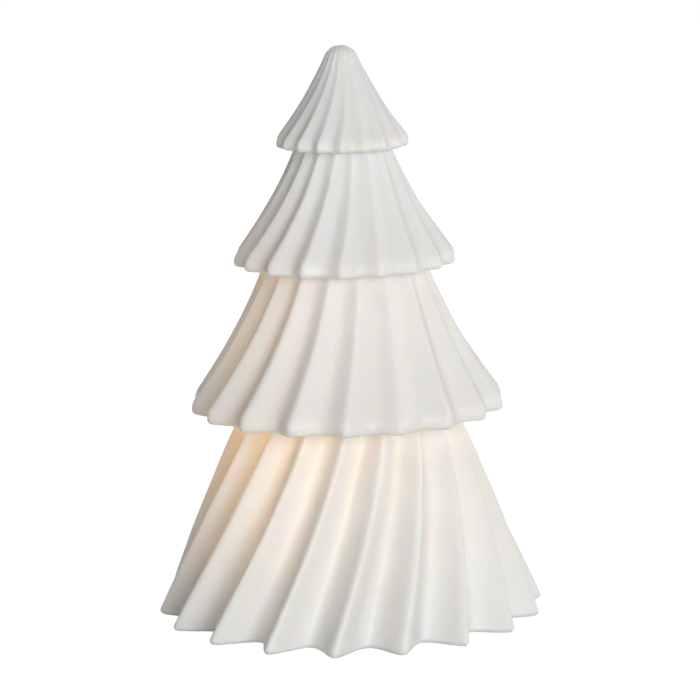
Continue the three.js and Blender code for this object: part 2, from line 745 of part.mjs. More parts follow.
const cellNames = ['cell_front', 'cell_middle', 'cell_rear'];
const springNames = ['spring_front', 'spring_middle', 'spring_rear'];
for (let i = 0; i < cellCount; i += 1) {
  const side = cellSide(i);
  const pole = side * (contactInner - pipHeight - gap);
  const turn = [0, side * Math.PI / 2, 0];
  place(cellNames[i], cell(), cellMaterial, { at: [pole - side * cellLength, cellY(i), cellZ], turn });
  place(springNames[i], spring(), metalMaterial, { at: [-side * (contactInner - gap), cellY(i), cellZ], turn });
}

const contactNames = ['contact_minus', 'contact_bridge_right', 'contact_bridge_left', 'contact_plus'];
contactPlaces().forEach((item, i) => place(contactNames[i], contact(item), metalMaterial));

const board = new THREE.Group();
board.position.set(0, boardY, boardBottom);
tree.add(board);
const onBoard = ([x, y]) => ({ at: [x, y, boardThick + gap], parent: board });
place('circuit_board', circuitBoard(), boardMaterial, { parent: board });
place('timer_chip', timerChip(), blackMaterial, onBoard(chipPlace));
place('timer_crystal', timerCrystal(), metalMaterial, onBoard(crystalPlace));
place('led_resistor', lampResistor(), resistorMaterial, onBoard(resistorPlace));
place('switch_body', switchBody(), blackMaterial, { at: [0, boardY, floorTop + gap] });
place('switch_knob', switchKnob(), blackMaterial, { at: [knobRestX, boardY, 0] });

place('led_lens', lampLens(), lampMaterial, { at: [0, 0, stemTop + gap] });
place('led_leg_plus', lampLeg(), metalMaterial, { at: [legPitch / 2, 0, stemTop] });
place('led_leg_minus', lampLeg(), metalMaterial, { at: [-legPitch / 2, 0, stemTop] });

const [minusEnd, plusEnd] = contactPlaces().filter((item) => item.cells.length === 1);
place('lead_cell_minus', cellLead(minusEnd), blackMaterial);
place('lead_cell_plus', cellLead(plusEnd), redMaterial);
place('lead_led_plus', lampLead(1), redMaterial, { at: [0, 0, -gap] });
place('lead_led_minus', lampLead(-1), blackMaterial, { at: [0, 0, -gap] });

const coverScrewNames = ['cover_screw_fl', 'cover_screw_fr', 'cover_screw_rr', 'cover_screw_rl'];
bossPlaces.forEach(([x, y], i) => place(coverScrewNames[i],
  screw(coverScrewRadius, coverScrewLength, coverScrewHeadRadius, coverScrewHeadHeight),
  metalMaterial, { at: [x, y, coverTop + gap] }));
const boardScrewNames = ['board_screw_left', 'board_screw_right'];
boardPosts.forEach((x, i) => place(boardScrewNames[i],
  screw(boardScrewRadius, boardScrewLength, boardScrewHeadRadius, boardScrewHeadHeight),
  metalMaterial, { at: [x, 0, boardThick + gap], parent: board }));

console.log(`spring turns stand ${springTurnGap().toFixed(2)} mm apart`);
console.log(`door pivot at x ${doorPivot[0].toFixed(2)}, z ${doorPivot[1].toFixed(2)}`);

export default tree;
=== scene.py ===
"""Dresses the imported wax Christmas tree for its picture.

Lengths are in millimetres unless a name says otherwise, +Z points up the tree, and the
picture is taken from -Y. Every finished piece keeps its place in its own mesh.
"""

import json
import logging
import math
from dataclasses import dataclass
from enum import StrEnum

import bmesh
import bpy
from mathutils import Matrix, Vector

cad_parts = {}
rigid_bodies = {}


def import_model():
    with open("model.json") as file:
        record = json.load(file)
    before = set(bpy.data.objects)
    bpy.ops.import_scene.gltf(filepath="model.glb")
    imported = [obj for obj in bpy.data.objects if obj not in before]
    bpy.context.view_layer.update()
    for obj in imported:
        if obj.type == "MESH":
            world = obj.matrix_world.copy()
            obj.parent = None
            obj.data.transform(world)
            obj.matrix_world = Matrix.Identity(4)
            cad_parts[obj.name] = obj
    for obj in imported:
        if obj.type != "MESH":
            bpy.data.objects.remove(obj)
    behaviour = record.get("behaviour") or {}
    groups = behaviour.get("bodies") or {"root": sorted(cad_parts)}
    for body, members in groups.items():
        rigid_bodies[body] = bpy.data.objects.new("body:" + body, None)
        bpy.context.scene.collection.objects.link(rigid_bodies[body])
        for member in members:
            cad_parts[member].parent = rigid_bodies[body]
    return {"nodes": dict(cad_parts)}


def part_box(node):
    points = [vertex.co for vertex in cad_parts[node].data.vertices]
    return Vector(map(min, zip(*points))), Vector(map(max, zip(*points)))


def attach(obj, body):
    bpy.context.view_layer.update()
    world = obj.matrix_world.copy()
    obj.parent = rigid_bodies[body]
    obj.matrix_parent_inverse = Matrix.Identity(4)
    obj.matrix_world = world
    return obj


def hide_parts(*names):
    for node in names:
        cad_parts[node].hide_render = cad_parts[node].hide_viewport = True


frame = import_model()

log = logging.getLogger("wax_tree")

MM = 0.001
FULL_TURN = 2 * math.pi
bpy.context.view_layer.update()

Piece = bpy.types.Object
Material = bpy.types.Material
Socket = bpy.types.NodeSocket
Triple = tuple[float, float, float]


class Body(StrEnum):
    """The bodies that a piece can ride on."""

    TREE = "tree"
    DOOR = "battery_door"
    KNOB = "switch_knob"


class Slot(StrEnum):
    """The record's material slots."""

    WAX = "wax"
    WHITE = "white_plastic"
    BLACK = "black_plastic"
    JACKET = "cell_jacket"
    STEEL = "plated_steel"
    BOARD = "board_laminate"
    LACQUER = "resistor_coat"
    LENS = "lamp_epoxy"
    RED_LEAD = "red_insulation"
    BLACK_LEAD = "black_insulation"


# ---------------------------------------------------------------- modelling helpers


def mm(x: float, y: float, z: float) -> Triple:
    """A point given in millimetres, in metres."""
    return (x * MM, y * MM, z * MM)


def deselect_all() -> None:
    """Clears the selection and any active object, so that the next operator acts alone."""
    if bpy.context.mode != "OBJECT":
        bpy.ops.object.mode_set(mode="OBJECT")
    for obj in bpy.context.view_layer.objects:
        obj.select_set(False)
    bpy.context.view_layer.objects.active = None


def select_only(obj: Piece) -> None:
    """Makes one object the only selected and active one.

    Args:
        obj: The object that the next operators act on.
    """
    deselect_all()
    obj.select_set(True)
    bpy.context.view_layer.objects.active = obj


def apply_modifiers(obj: Piece) -> None:
    """Applies an object's modifiers in their order.

    Args:
        obj: The mesh object to finish.
    """
    select_only(obj)
    for modifier in list(obj.modifiers):
        bpy.ops.object.modifier_apply(modifier=modifier.name)


def smooth(obj: Piece, degrees: float) -> None:
    """Shades a piece smooth, with hard edges only where its faces turn further than an angle."""
    select_only(obj)
    bpy.ops.object.shade_smooth_by_angle(angle=math.radians(degrees))


def start_piece(name: str) -> Piece:
    """Names the primitive that an operator has just added, and opens it in edit mode.

    Args:
        name: The piece's name.

    Returns:
        The new object, in edit mode.
    """
    piece = bpy.context.object
    piece.name = name
    piece.data.name = name
    select_only(piece)
    bpy.ops.object.mode_set(mode="EDIT")
    return piece


def settle(obj: Piece) -> Piece:
    """Leaves edit mode and moves a piece's place into its mesh.

    Args:
        obj: The piece, in edit or object mode.

    Returns:
        The same object, at the origin, unturned and unscaled.
    """
    if bpy.context.mode != "OBJECT":
        bpy.ops.object.mode_set(mode="OBJECT")
    select_only(obj)
    bpy.ops.object.transform_apply(location=True, rotation=True, scale=True)
    return obj


# ---------------------------------------------------------------- node helpers


class NodeBoard:
    """A material's nodes, added from left to right and wired by short calls."""

    def __init__(self, name: str) -> None:
        """Opens a new material with an empty board.

        Args:
            name: The material's name.
        """
        self.material = bpy.data.materials.new(name)
        self.material.use_nodes = True
        self.nodes = self.material.node_tree.nodes
        self.links = self.material.node_tree.links
        self.nodes.clear()
        self.column = 0

    def add(self, kind: str, **settings: object) -> bpy.types.Node:
        """Adds a node.

        Args:
            kind: The node's type, without its ShaderNode prefix.
            **settings: Values of the node's own properties.

        Returns:
            The new node.
        """
        node = self.nodes.new("ShaderNode" + kind)
        node.location = (220 * self.column, 0)
        self.column += 1
        for name, value in settings.items():
            setattr(node, name, value)
        return node

    def wire(self, source: Socket, target: Socket) -> None:
        """Joins an output to an input."""
        self.links.new(source, target)

    def feed(self, socket: Socket, value: object) -> None:
        """Gives an input either another node's output or a plain value.

        Args:
            socket: The input.
            value: A socket or a plain value.
        """
        if isinstance(value, Socket):
            self.wire(value, socket)
        else:
            socket.default_value = value

    def math(self, operation: str, first: object, second: object = 0.0) -> Socket:
        """Adds a Math node.

        Args:
            operation: The node's operation.
            first: A socket or a number.
            second: A socket or a number.

        Returns:
            The node's output.
        """
        node = self.add("Math", operation=operation)
        self.feed(node.inputs[0], first)
        self.feed(node.inputs[1], second)
        return node.outputs[0]

    def vary(self, pattern: Socket, spread: float, base: float) -> Socket:
        """Turns a pattern into a value that runs from a base up by a spread.

        Args:
            pattern: The pattern, 0 to 1.
            spread: How far the value rises.
            base: The value where the pattern is 0.

        Returns:
            The varied value.
        """
        rising = self.math("MULTIPLY_ADD", pattern, spread)
        rising.node.inputs[2].default_value = base
        return rising

    def along_x(self) -> Socket:
        """Adds a split of the piece's own coordinates.

        Returns:
            The place along X, in metres.
        """
        split = self.add("SeparateXYZ")
        self.wire(self.place(), split.inputs[0])
        return split.outputs["X"]

    def mix(self, share: object, first: object, second: object, blend: str = "MIX") -> Socket:
        """Adds a colour Mix node.

        Args:
            share: A socket or a number, 0 for the first colour and 1 for the second.
            first: A socket or a colour.
            second: A socket or a colour.
            blend: The node's blend type.

        Returns:
            The mixed colour.
        """
        node = self.add("Mix", data_type="RGBA", blend_type=blend)
        self.feed(node.inputs[0], share)
        self.feed(node.inputs[6], first)
        self.feed(node.inputs[7], second)
        return node.outputs[2]

    def place(self, scale: Triple = (1.0, 1.0, 1.0)) -> Socket:
        """Adds the piece's own coordinates, in metres.

        Args:
            scale: The stretch along each axis.

        Returns:
            The coordinates.
        """
        source = self.add("TexCoord").outputs["Object"]
        mapping = self.add("Mapping")
        mapping.inputs["Scale"].default_value = scale
        self.wire(source, mapping.inputs["Vector"])
        return mapping.outputs["Vector"]

    def noise(self, size_mm: float, detail: float = 2.0, roughness: float = 0.5,
              vector: Socket | None = None) -> Socket:
        """Adds a noise whose features are about one size across.

        Args:
            size_mm: The features' size.
            detail: How many finer layers are added.
            roughness: How strong the finer layers are.
            vector: The coordinates, or none for the piece's own.

        Returns:
            The noise, about 0 to 1.
        """
        node = self.add("TexNoise")
        self.wire(vector or self.place(), node.inputs["Vector"])
        node.inputs["Scale"].default_value = 1000.0 / size_mm
        node.inputs["Detail"].default_value = detail
        node.inputs["Roughness"].default_value = roughness
        return node.outputs["Fac"]

    def bump(self, height: Socket, depth_mm: float, under: Socket | None = None) -> Socket:
        """Adds a bump of a real depth.

        Args:
            height: The height pattern, 0 to 1.
            depth_mm: The depth that a full step stands for.
            under: A normal from a bump below this one.

        Returns:
            The normal.
        """
        node = self.add("Bump")
        node.inputs["Strength"].default_value = 1.0
        node.inputs["Distance"].default_value = depth_mm * MM
        self.wire(height, node.inputs["Height"])
        if under is not None:
            self.wire(under, node.inputs["Normal"])
        return node.outputs["Normal"]

    def finish(self, **inputs: object) -> Material:
        """Ends the board in one Principled shader.

        Args:
            **inputs: The shader's inputs by name, with underscores for spaces.

        Returns:
            The finished material.
        """
        shader = self.add("BsdfPrincipled")
        for name, value in inputs.items():
            self.feed(shader.inputs[name.replace("_", " ")], value)
        output = self.add("OutputMaterial")
        self.wire(shader.outputs["BSDF"], output.inputs["Surface"])
        return self.material


def dress(obj: Piece, material: Material) -> None:
    """Gives every face of a piece one material."""
    obj.data.materials.clear()
    obj.data.materials.append(material)


# ---------------------------------------------------------------- wax tree


@dataclass(frozen=True)
class Ring:
    """One level of the wax: crest radius, flute depth, height, and how far its crests have turned."""

    radius: float
    depth: float
    height: float
    turn: float = 0.0


@dataclass(frozen=True)
class Tier:
    """One fluted cone of the tree, from its underside (low) to the underside of the next.

    Widths are taken at the crests, flare is how far the slope sags inwards at mid height,
    and phase and twist are in degrees. Fade above 1 makes the flutes run out sooner, and
    twist_ease above 1 turns the ribs a little faster the higher they are.
    """

    low: float
    band: float
    wide: float
    top: float
    flare: float
    wide_depth: float
    top_depth: float
    phase: float
    twist: float
    levels: int
    fade: float = 1.0
    twist_ease: float = 1.12

    def slope(self, top_height: float) -> list[Ring]:
        """The levels above the rim's edge, which ease from its upright band into the slope.

        Args:
            top_height: Where the next tier begins.

        Returns:
            Rings from the band up to the next tier's underside.
        """
        rise = top_height - self.low - self.band
        lean = (self.wide - self.top + 4 * self.flare) / rise
        ease = min(2.0, 0.9 * (self.band - 1.3))
        shares = [step * ease / rise for step in (-1.0, -0.6, -0.2, 0.2, 0.6)]
        shares += [(ease / rise) + (1 - ease / rise) * level / self.levels for level in range(self.levels + 1)]
        rings = []
        for share in shares:
            height = share * rise
            eased = lean * (height + ease) ** 2 / (4 * ease)
            straight = (self.wide - self.top) * share + 4 * self.flare * share * (1 - share)
            along = max(share, 0.0)
            rings.append(Ring(
                self.wide - (eased if height < ease else straight),
                self.top_depth + (self.wide_depth - self.top_depth) * (1 - along) ** self.fade,
                self.low + self.band + height,
                self.phase + self.twist * along ** self.twist_ease,
            ))
        return rings


@dataclass
class WaxTree:
    """The hollow wax casting, which stands for the node wax_body."""

    tiers: tuple[Tier, ...] = (
        Tier(0, 1.6, 61.3, 34.3, 0.15, 10.5, 3.6, -5.2, 24.5, 34),
        Tier(65.2, 4, 49.6, 25.7, 1.9, 4, 1.5, -1, 11, 24),
        Tier(111.5, 3.4, 35.1, 15.2, 1.6, 2.6, 0.9, -2, 14, 20),
        Tier(148.2, 2.8, 21, 4.95, 1.1, 1.7, 0.3, -1.2, 16.5, 18, 3),
    )
    rib_count: int = 18
    rib_segments: int = 24
    steep_segments: int = 11
    crest_power: float = 1.05
    crest_softness: float = 0.22
    edge_round: float = 1.5
    tree_height: float = 180.0
    edge_degrees: tuple[int, ...] = (0, 20, 40, 60, 80)
    foot_underside: tuple[tuple[float, float], ...] = ((43, 2), (51, 6))
    tip_radius: float = 5.5
    tip_slope: float = 26.0
    tip_degrees: tuple[int, ...] = (34, 43, 52, 61, 70, 78, 85)
    recess_radius: float = 36.3
    recess_top: float = 26.4
    recess_lip: float = 0.3
    chamber: tuple[tuple[float, float], ...] = ((33.8, 26.4), (24.0, 65.2), (17.83, 108.5))
    chamber_top: float = 114.5
    chamber_levels: int = 8
    dome_degrees: tuple[int, ...] = (84, 72, 60, 45, 30, 15)
    unevenness: float = 0.22
    wave_length: float = 11.0
    smooth_degrees: float = 50.0

    def drop(self, step: int) -> float:
        """How far a point of the rib lies from its crest to its valley, 0 to 1.

        Args:
            step: The point's place, counted from the crest, below zero on the steep flank.

        Returns:
            The share of the flute's depth.
        """
        flank = self.steep_segments if step < 0 else self.rib_segments - self.steep_segments
        slant = math.sin(0.5 * math.pi * abs(step) / flank)
        soft = self.crest_softness
        rounded = math.hypot(slant, soft) - soft
        return (rounded / (math.hypot(1, soft) - soft)) ** self.crest_power

    def chamber_rings(self) -> list[Ring]:
        """Lists the levels of the hollow's wall.

        Returns:
            Rings from its domed top down to the table.
        """
        cone_radius, cone_top = self.chamber[-1]
        rise = self.chamber_top - cone_top
        rings = [
            Ring(cone_radius * math.cos(angle), 0, cone_top + rise * math.sin(angle))
            for angle in map(math.radians, self.dome_degrees)
        ]
        for (low_radius, low), (high_radius, high) in reversed(list(zip(self.chamber, self.chamber[1:]))):
            for level in range(self.chamber_levels, -1, -1):
                share = level / self.chamber_levels
                rings.append(Ring(
                    low_radius + (high_radius - low_radius) * share, 0, low + (high - low) * share,
                ))
        for height in (self.recess_top, self.recess_top / 2, self.recess_lip):
            rings.append(Ring(self.recess_radius, 0, height))
        rings.append(Ring(self.recess_radius + self.recess_lip, 0, 0))
        return rings

    def rim_rings(self, tier: Tier) -> list[Ring]:
        """Lists the levels of a rim's lower edge.

        Args:
            tier: The tier that the rim belongs to.

        Returns:
            Rings from the flat underside's last level round the edge.
        """
        round_off = min(self.edge_round, tier.band)
        rings = [Ring(tier.wide - 2 * round_off, tier.wide_depth, tier.low, tier.phase)]
        for angle in map(math.radians, self.edge_degrees):
            rings.append(Ring(
                tier.wide - round_off * (1 - math.sin(angle)), tier.wide_depth,
                tier.low + round_off * (1 - math.cos(angle)), tier.phase,
            ))
        return rings

    def outer_rings(self) -> list[Ring]:
        """Lists all levels of the outside.

        Returns:
            Rings from the foot's underside to the tip's last level.
        """
        ball_height = self.tree_height - self.tip_radius
        tip_top = ball_height + self.tip_radius * math.sin(math.radians(self.tip_slope))
        tops = [tier.low for tier in self.tiers[1:]] + [tip_top]
        foot = self.tiers[0]
        rings = [Ring(radius, depth, 0, foot.phase) for radius, depth in self.foot_underside]
        for tier, top_height in zip(self.tiers, tops):
            rings += self.rim_rings(tier) + tier.slope(top_height)
        last = self.tiers[-1]
        for angle in map(math.radians, self.tip_degrees):
            rings.append(Ring(
                self.tip_radius * math.cos(angle), last.top_depth * math.cos(angle) ** 2,
                ball_height + self.tip_radius * math.sin(angle), last.phase + last.twist,
            ))
        return rings

    def rib_strip(self) -> Piece:
        """Models one rib, from valley to valley, by extruding a short arc level by level.

        Returns:
            The strip, in edit mode.
        """
        rings = self.chamber_rings() + self.outer_rings()
        first = rings[0]
        bpy.ops.mesh.primitive_circle_add(
            vertices=self.rib_count * self.rib_segments, radius=first.radius * MM,
            fill_type="NOTHING", location=mm(0, 0, first.height),
        )
        strip = settle(bpy.context.object)
        strip.name = strip.data.name = "wax_tree"
        bpy.ops.object.mode_set(mode="EDIT")
        bpy.ops.mesh.select_mode(type="VERT")
        bpy.ops.mesh.select_all(action="DESELECT")
        mesh = bmesh.from_edit_mesh(strip.data)
        segment = FULL_TURN / self.rib_count / self.rib_segments
        first_step, last_step = -self.steep_segments - 0.1, self.rib_segments - self.steep_segments + 0.1
        for vertex in mesh.verts:
            step = math.atan2(vertex.co.x, -vertex.co.y) / segment
            vertex.select = not first_step < step < last_step
        bpy.ops.mesh.delete(type="VERT")
        bpy.ops.mesh.select_all(action="SELECT")
        for before, after in zip(rings, rings[1:]):
            self.raise_level(strip, before, after)
        return strip

    def raise_level(self, strip: Piece, before: Ring, after: Ring) -> None:
        """Extrudes the strip's newest level and shapes the new one point by point.

        Args:
            strip: The strip, in edit mode, with its newest level selected.
            before: The newest level.
            after: The level to add.
        """
        bpy.ops.mesh.extrude_edges_move(
            TRANSFORM_OT_translate={"value": mm(0, 0, after.height - before.height)},
        )
        if after.turn != before.turn:
            # With no window this operator turns clockwise, so the value's sign is changed.
            bpy.ops.transform.rotate(
                value=math.radians(before.turn - after.turn), orient_axis="Z", center_override=(0, 0, 0),
            )
        mesh = bmesh.from_edit_mesh(strip.data)
        level = [vertex for vertex in mesh.verts if vertex.select]
        steps: dict[int, list[int]] = {}
        turn = math.radians(after.turn)
        for vertex in level:
            angle = math.atan2(vertex.co.x, -vertex.co.y) - turn
            angle = (angle + math.pi) % FULL_TURN - math.pi
            step = round(angle / FULL_TURN * self.rib_count * self.rib_segments)
            steps.setdefault(step, []).append(vertex.index)
        for step, indices in steps.items():
            old = before.radius - before.depth * self.drop(step)
            new = after.radius - after.depth * self.drop(step)
            mesh = bmesh.from_edit_mesh(strip.data)
            mesh.verts.ensure_lookup_table()
            for vertex in mesh.verts:
                vertex.select = False
            for index in indices:
                mesh.verts[index].select = True
            bpy.ops.transform.resize(value=(new / old, new / old, 1), center_override=(0, 0, 0))
        mesh = bmesh.from_edit_mesh(strip.data)
        mesh.verts.ensure_lookup_table()
        for indices in steps.values():
            for index in indices:
                mesh.verts[index].select = True
        mesh.select_flush(True)

    def close_poles(self, tree: Piece) -> None:
        """Draws each open end of the skin together in one point.

        Args:
            tree: The merged skin, in edit mode.
        """
        for above in (True, False):
            bpy.ops.mesh.select_all(action="DESELECT")
            mesh = bmesh.from_edit_mesh(tree.data)
            middle = 0.5 * (self.chamber_top + self.tree_height) * MM
            for edge in mesh.edges:
                if edge.is_boundary and (edge.verts[0].co.z > middle) == above:
                    edge.select_set(True)
            rise = (self.tree_height if above else self.chamber_top) * MM
            height = max(vertex.co.z for vertex in mesh.verts if vertex.select)
            bpy.ops.mesh.extrude_edges_move(TRANSFORM_OT_translate={"value": (0, 0, rise - height)})
            bpy.ops.mesh.merge(type="CENTER")

    def make_skin(self) -> Piece:
        """Copies the rib round the trunk, joins the copies and closes the skin.

        Returns:
            The closed casting, settled.
        """
        tree = self.rib_strip()
        bpy.ops.mesh.select_all(action="SELECT")
        others = self.rib_count - 1
        bpy.ops.mesh.spin(
            steps=others, dupli=True, angle=FULL_TURN * others / self.rib_count,
            center=(0, 0, 0), axis=(0, 0, 1),
        )
        bpy.ops.mesh.select_all(action="SELECT")
        bpy.ops.mesh.remove_doubles(threshold=1e-6)
        self.close_poles(tree)
        bpy.ops.mesh.select_all(action="SELECT")
        bpy.ops.mesh.normals_make_consistent(inside=False)
        return settle(tree)

    def uneven(self, tree: Piece) -> None:
        """Gives the skin the slight waves of a hand-poured casting.

        Args:
            tree: The casting.
        """
        waves = bpy.data.textures.new("poured_waves", "CLOUDS")
        waves.noise_scale = self.wave_length * MM
        waves.noise_depth = 1
        modifier = tree.modifiers.new("poured_waves", "DISPLACE")
        modifier.texture = waves
        modifier.texture_coords = "LOCAL"
        modifier.strength = self.unevenness * MM
        modifier.mid_level = 0.6
        apply_modifiers(tree)

    def chamber_line(self) -> list[Vector]:
        """Lists the hollow's outline, for measuring the wall.

        Returns:
            Points of radius and height.
        """
        line = [Vector((radius, height)) for radius, height in self.chamber]
        radius, height = self.chamber[-1]
        rise = self.chamber_top - height
        for degrees in (30, 60, 90):
            angle = math.radians(degrees)
            line.append(Vector((radius * math.cos(angle), height + rise * math.sin(angle))))
        return line

    def store_glow(self, tree: Piece, light: "LampGlow") -> None:
        """Stores how much of the lamp's light reaches each point through the wax.

        Args:
            tree: The finished casting.
            light: The lamp's light and how the wax carries it.
        """
        line = self.chamber_line()
        levels = [ring for ring in self.outer_rings() if ring.height > 0]
        layer = tree.data.attributes.new("glow", "FLOAT", "POINT")
        values = []
        for vertex in tree.data.vertices:
            point = vertex.co / MM
            level = min(levels, key=lambda ring: abs(ring.height - point.z))
            behind = level.radius - math.hypot(point.x, point.y)
            drop = max(0.0, min(1.0, behind / max(level.depth, 0.3)))
            values.append(light.at(point, line, drop))
        layer.data.foreach_set("value", values)

    def build(self) -> list[Piece]:
        """Models, evens out and dresses the casting.

        Returns:
            The finished piece, in a list as every group's.
        """
        tree = self.make_skin()
        self.uneven(tree)
        self.store_glow(tree, LampGlow())
        smooth(tree, self.smooth_degrees)
        dress(tree, PouredWax().material())
        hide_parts("wax_body")
        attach(tree, Body.TREE.value)
        return [tree]


@dataclass(frozen=True)
class LampGlow:
    """The lamp's warm light inside the tree, as the wall's outside receives it.

    This light is painted on the wax as a glow, made strongest towards one side, and the thin
    bottoms of the flutes let the most of it out.
    """

    bright_height: float = 59.8
    spread_up: float = 53.4
    spread_down: float = 47.6
    thin_wall: float = 6.0
    reach: float = 12.0
    bright_side: float = -117.0
    side_focus: float = 1.7
    all_round: float = 0.25
    crest_share: float = 0.66
    valley_power: float = 5.0

    def wall(self, here: Vector, line: list[Vector]) -> tuple[float, float]:
        """Measures the wax between a point and the hollow.

        Args:
            here: The point's radius and height.
            line: The hollow's outline as radius and height.

        Returns:
            The wall's thickness, and the height at which its light enters.
        """
        best = math.inf
        enters = line[0].y
        for low, high in zip(line, line[1:]):
            span = high - low
            share = max(0.0, min(1.0, (here - low).dot(span) / span.length_squared))
            foot = low + span * share
            distance = (here - foot).length
            if distance < best:
                best, enters = distance, foot.y
        return best, enters

    def at(self, point: Vector, line: list[Vector], drop: float) -> float:
        """The light at one point of the skin.

        Args:
            point: The point, in millimetres.
            line: The hollow's outline as radius and height.
            drop: How far the point lies in its valley, 0 on a crest and 1 in the valley.

        Returns:
            The light, 0 to 1.
        """
        thickness, enters = self.wall(Vector((math.hypot(point.x, point.y), point.z)), line)
        spread = self.spread_up if enters > self.bright_height else self.spread_down
        level = math.exp(-(((enters - self.bright_height) / spread) ** 2))
        # Painted light: the glow is made stronger towards one side of the tree.
        away = math.atan2(point.x, -point.y) - math.radians(self.bright_side)
        side = self.all_round + (1 - self.all_round) * (0.5 + 0.5 * math.cos(away)) ** self.side_focus
        through = math.exp(-max(0.0, thickness - self.thin_wall) / self.reach)
        valley = self.crest_share + (1 - self.crest_share) * drop ** self.valley_power
        return level * side * through * valley


@dataclass(frozen=True)
class PouredWax:
    """Satin white wax, cloudy below its surface, with the light of its lamp painted on as a warm glow."""

    colour: Triple = (0.862, 0.868, 0.852)
    cloud_colour: Triple = (0.834, 0.837, 0.818)
    glow_weak: Triple = (1.0, 0.50, 0.08)
    glow_strong: Triple = (1.0, 0.46, 0.04)
    glow_strength: float = 0.62
    roughness: float = 0.46
    scatter: float = 1.0
    scatter_depth_mm: float = 2.5

    def material(self) -> Material:
        """Mixes the wax's looks, with the lamp's light from the glow attribute.

        Returns:
            The wax, with cloudy colour and a fine skin.
        """
        board = NodeBoard("poured_wax")
        clouds = board.noise(16, detail=3)
        skin = board.noise(1.4, detail=3, roughness=0.6)
        grain = board.noise(0.35, detail=2)
        colour = board.mix(clouds, (*self.colour, 1), (*self.cloud_colour, 1))
        rough = board.vary(skin, 0.16, self.roughness - 0.08)
        fine = board.bump(grain, 0.012)
        normal = board.bump(skin, 0.05, under=fine)
        # Painted light: the lamp's glow through the wall is emission read from the glow attribute.
        glow = board.add("Attribute", attribute_name="glow").outputs["Fac"]
        tint = board.mix(glow, (*self.glow_weak, 1), (*self.glow_strong, 1))
        light = board.mix(1.0, tint, glow, blend="MULTIPLY")
        return board.finish(
            Base_Color=colour, Roughness=rough, IOR=1.44, Normal=normal,
            Subsurface_Weight=self.scatter, Subsurface_Scale=self.scatter_depth_mm * MM,
            Subsurface_Radius=(1.0, 0.72, 0.5),
            Emission_Color=light, Emission_Strength=self.glow_strength,
        )


# ---------------------------------------------------------------- small finishes


@dataclass(frozen=True)
class MouldedPlastic:
    """Moulded plastic with the fine spark texture of its mould."""

    name: str
    colour: Triple
    roughness: float = 0.5
    texture_mm: float = 0.3
    texture_depth_mm: float = 0.012

    def material(self) -> Material:
        """Mixes the plastic's looks.

        Returns:
            The plastic, a little cloudy, rougher where its texture stands up.
        """
        board = NodeBoard(self.name)
        clouds = board.noise(9, detail=2)
        spark = board.noise(self.texture_mm, detail=2, roughness=0.6)
        darker = tuple(0.95 * part for part in self.colour)
        colour = board.mix(clouds, (*self.colour, 1), (*darker, 1))
        rough = board.vary(spark, 0.2, self.roughness - 0.1)
        normal = board.bump(spark, self.texture_depth_mm)
        return board.finish(Base_Color=colour, Roughness=rough, Normal=normal, IOR=1.5)


@dataclass(frozen=True)
class PlatedMetal:
    """Bright plated metal with drawn lines along one axis and a thin cloudy tarnish."""

    name: str
    colour: Triple = (0.78, 0.77, 0.74)
    roughness: float = 0.24
    drawn: Triple = (0.08, 1.0, 1.0)

    def material(self) -> Material:
        """Mixes the metal's looks.

        Returns:
            The metal, with its lines in roughness and bump.
        """
        board = NodeBoard(self.name)
        lines = board.noise(0.12, detail=2, vector=board.place(self.drawn))
        tarnish = board.noise(3, detail=3)
        duller = tuple(0.82 * part for part in self.colour)
        colour = board.mix(tarnish, (*self.colour, 1), (*duller, 1))
        rough = board.vary(lines, 0.18, self.roughness - 0.06)
        normal = board.bump(lines, 0.003)
        return board.finish(Base_Color=colour, Metallic=1.0, Roughness=rough, Normal=normal)


@dataclass(frozen=True)
class PrintedFilm:
    """The gloss film round a cell: a dark sleeve with one silver band near its plus pole."""

    name: str
    band_from_mm: float
    band_to_mm: float
    colour: Triple = (0.055, 0.085, 0.13)
    band_colour: Triple = (0.55, 0.56, 0.57)

    def material(self) -> Material:
        """Mixes the film's looks.

        Returns:
            The film, with its band placed along the cell.
        """
        board = NodeBoard(self.name)
        along = board.along_x()
        middle = 0.5 * (self.band_from_mm + self.band_to_mm) * MM
        half = 0.5 * abs(self.band_to_mm - self.band_from_mm) * MM
        off_middle = board.math("ABSOLUTE", board.math("SUBTRACT", along, middle))
        band = board.math("LESS_THAN", off_middle, half)
        creases = board.noise(1.6, detail=3)
        colour = board.mix(band, (*self.colour, 1), (*self.band_colour, 1))
        worn = board.mix(board.math("MULTIPLY", creases, 0.3), colour, (0.2, 0.21, 0.23, 1))
        rough = board.vary(creases, 0.2, 0.18)
        return board.finish(
            Base_Color=worn, Roughness=rough, Normal=board.bump(creases, 0.015),
            Coat_Weight=0.5, Coat_Roughness=0.12,
        )


@dataclass(frozen=True)
class BoardLaminate:
    """Green solder mask over copper tracks, with the laminate's weave faintly showing."""

    name: str = "board_laminate"
    mask: Triple = (0.018, 0.11, 0.042)
    track: Triple = (0.05, 0.22, 0.075)

    def material(self) -> Material:
        """Mixes the solder mask's looks.

        Returns:
            The mask, with tracks that run in steps along the board.
        """
        board = NodeBoard(self.name)
        tracks = board.add("TexBrick", offset=0.37)
        board.wire(board.place((520.0, 520.0, 520.0)), tracks.inputs["Vector"])
        tracks.inputs["Mortar Size"].default_value = 0.09
        tracks.inputs["Brick Width"].default_value = 1.9
        tracks.inputs["Row Height"].default_value = 0.8
        weave = board.noise(0.35, detail=1)
        colour = board.mix(tracks.outputs["Fac"], (*self.mask, 1), (*self.track, 1))
        cloudy = board.mix(board.math("MULTIPLY", weave, 0.25), colour, (0.01, 0.07, 0.03, 1))
        raised = board.bump(tracks.outputs["Fac"], 0.03)
        normal = board.bump(weave, 0.006, under=raised)
        return board.finish(Base_Color=cloudy, Roughness=0.28, Normal=normal, Coat_Weight=0.3)


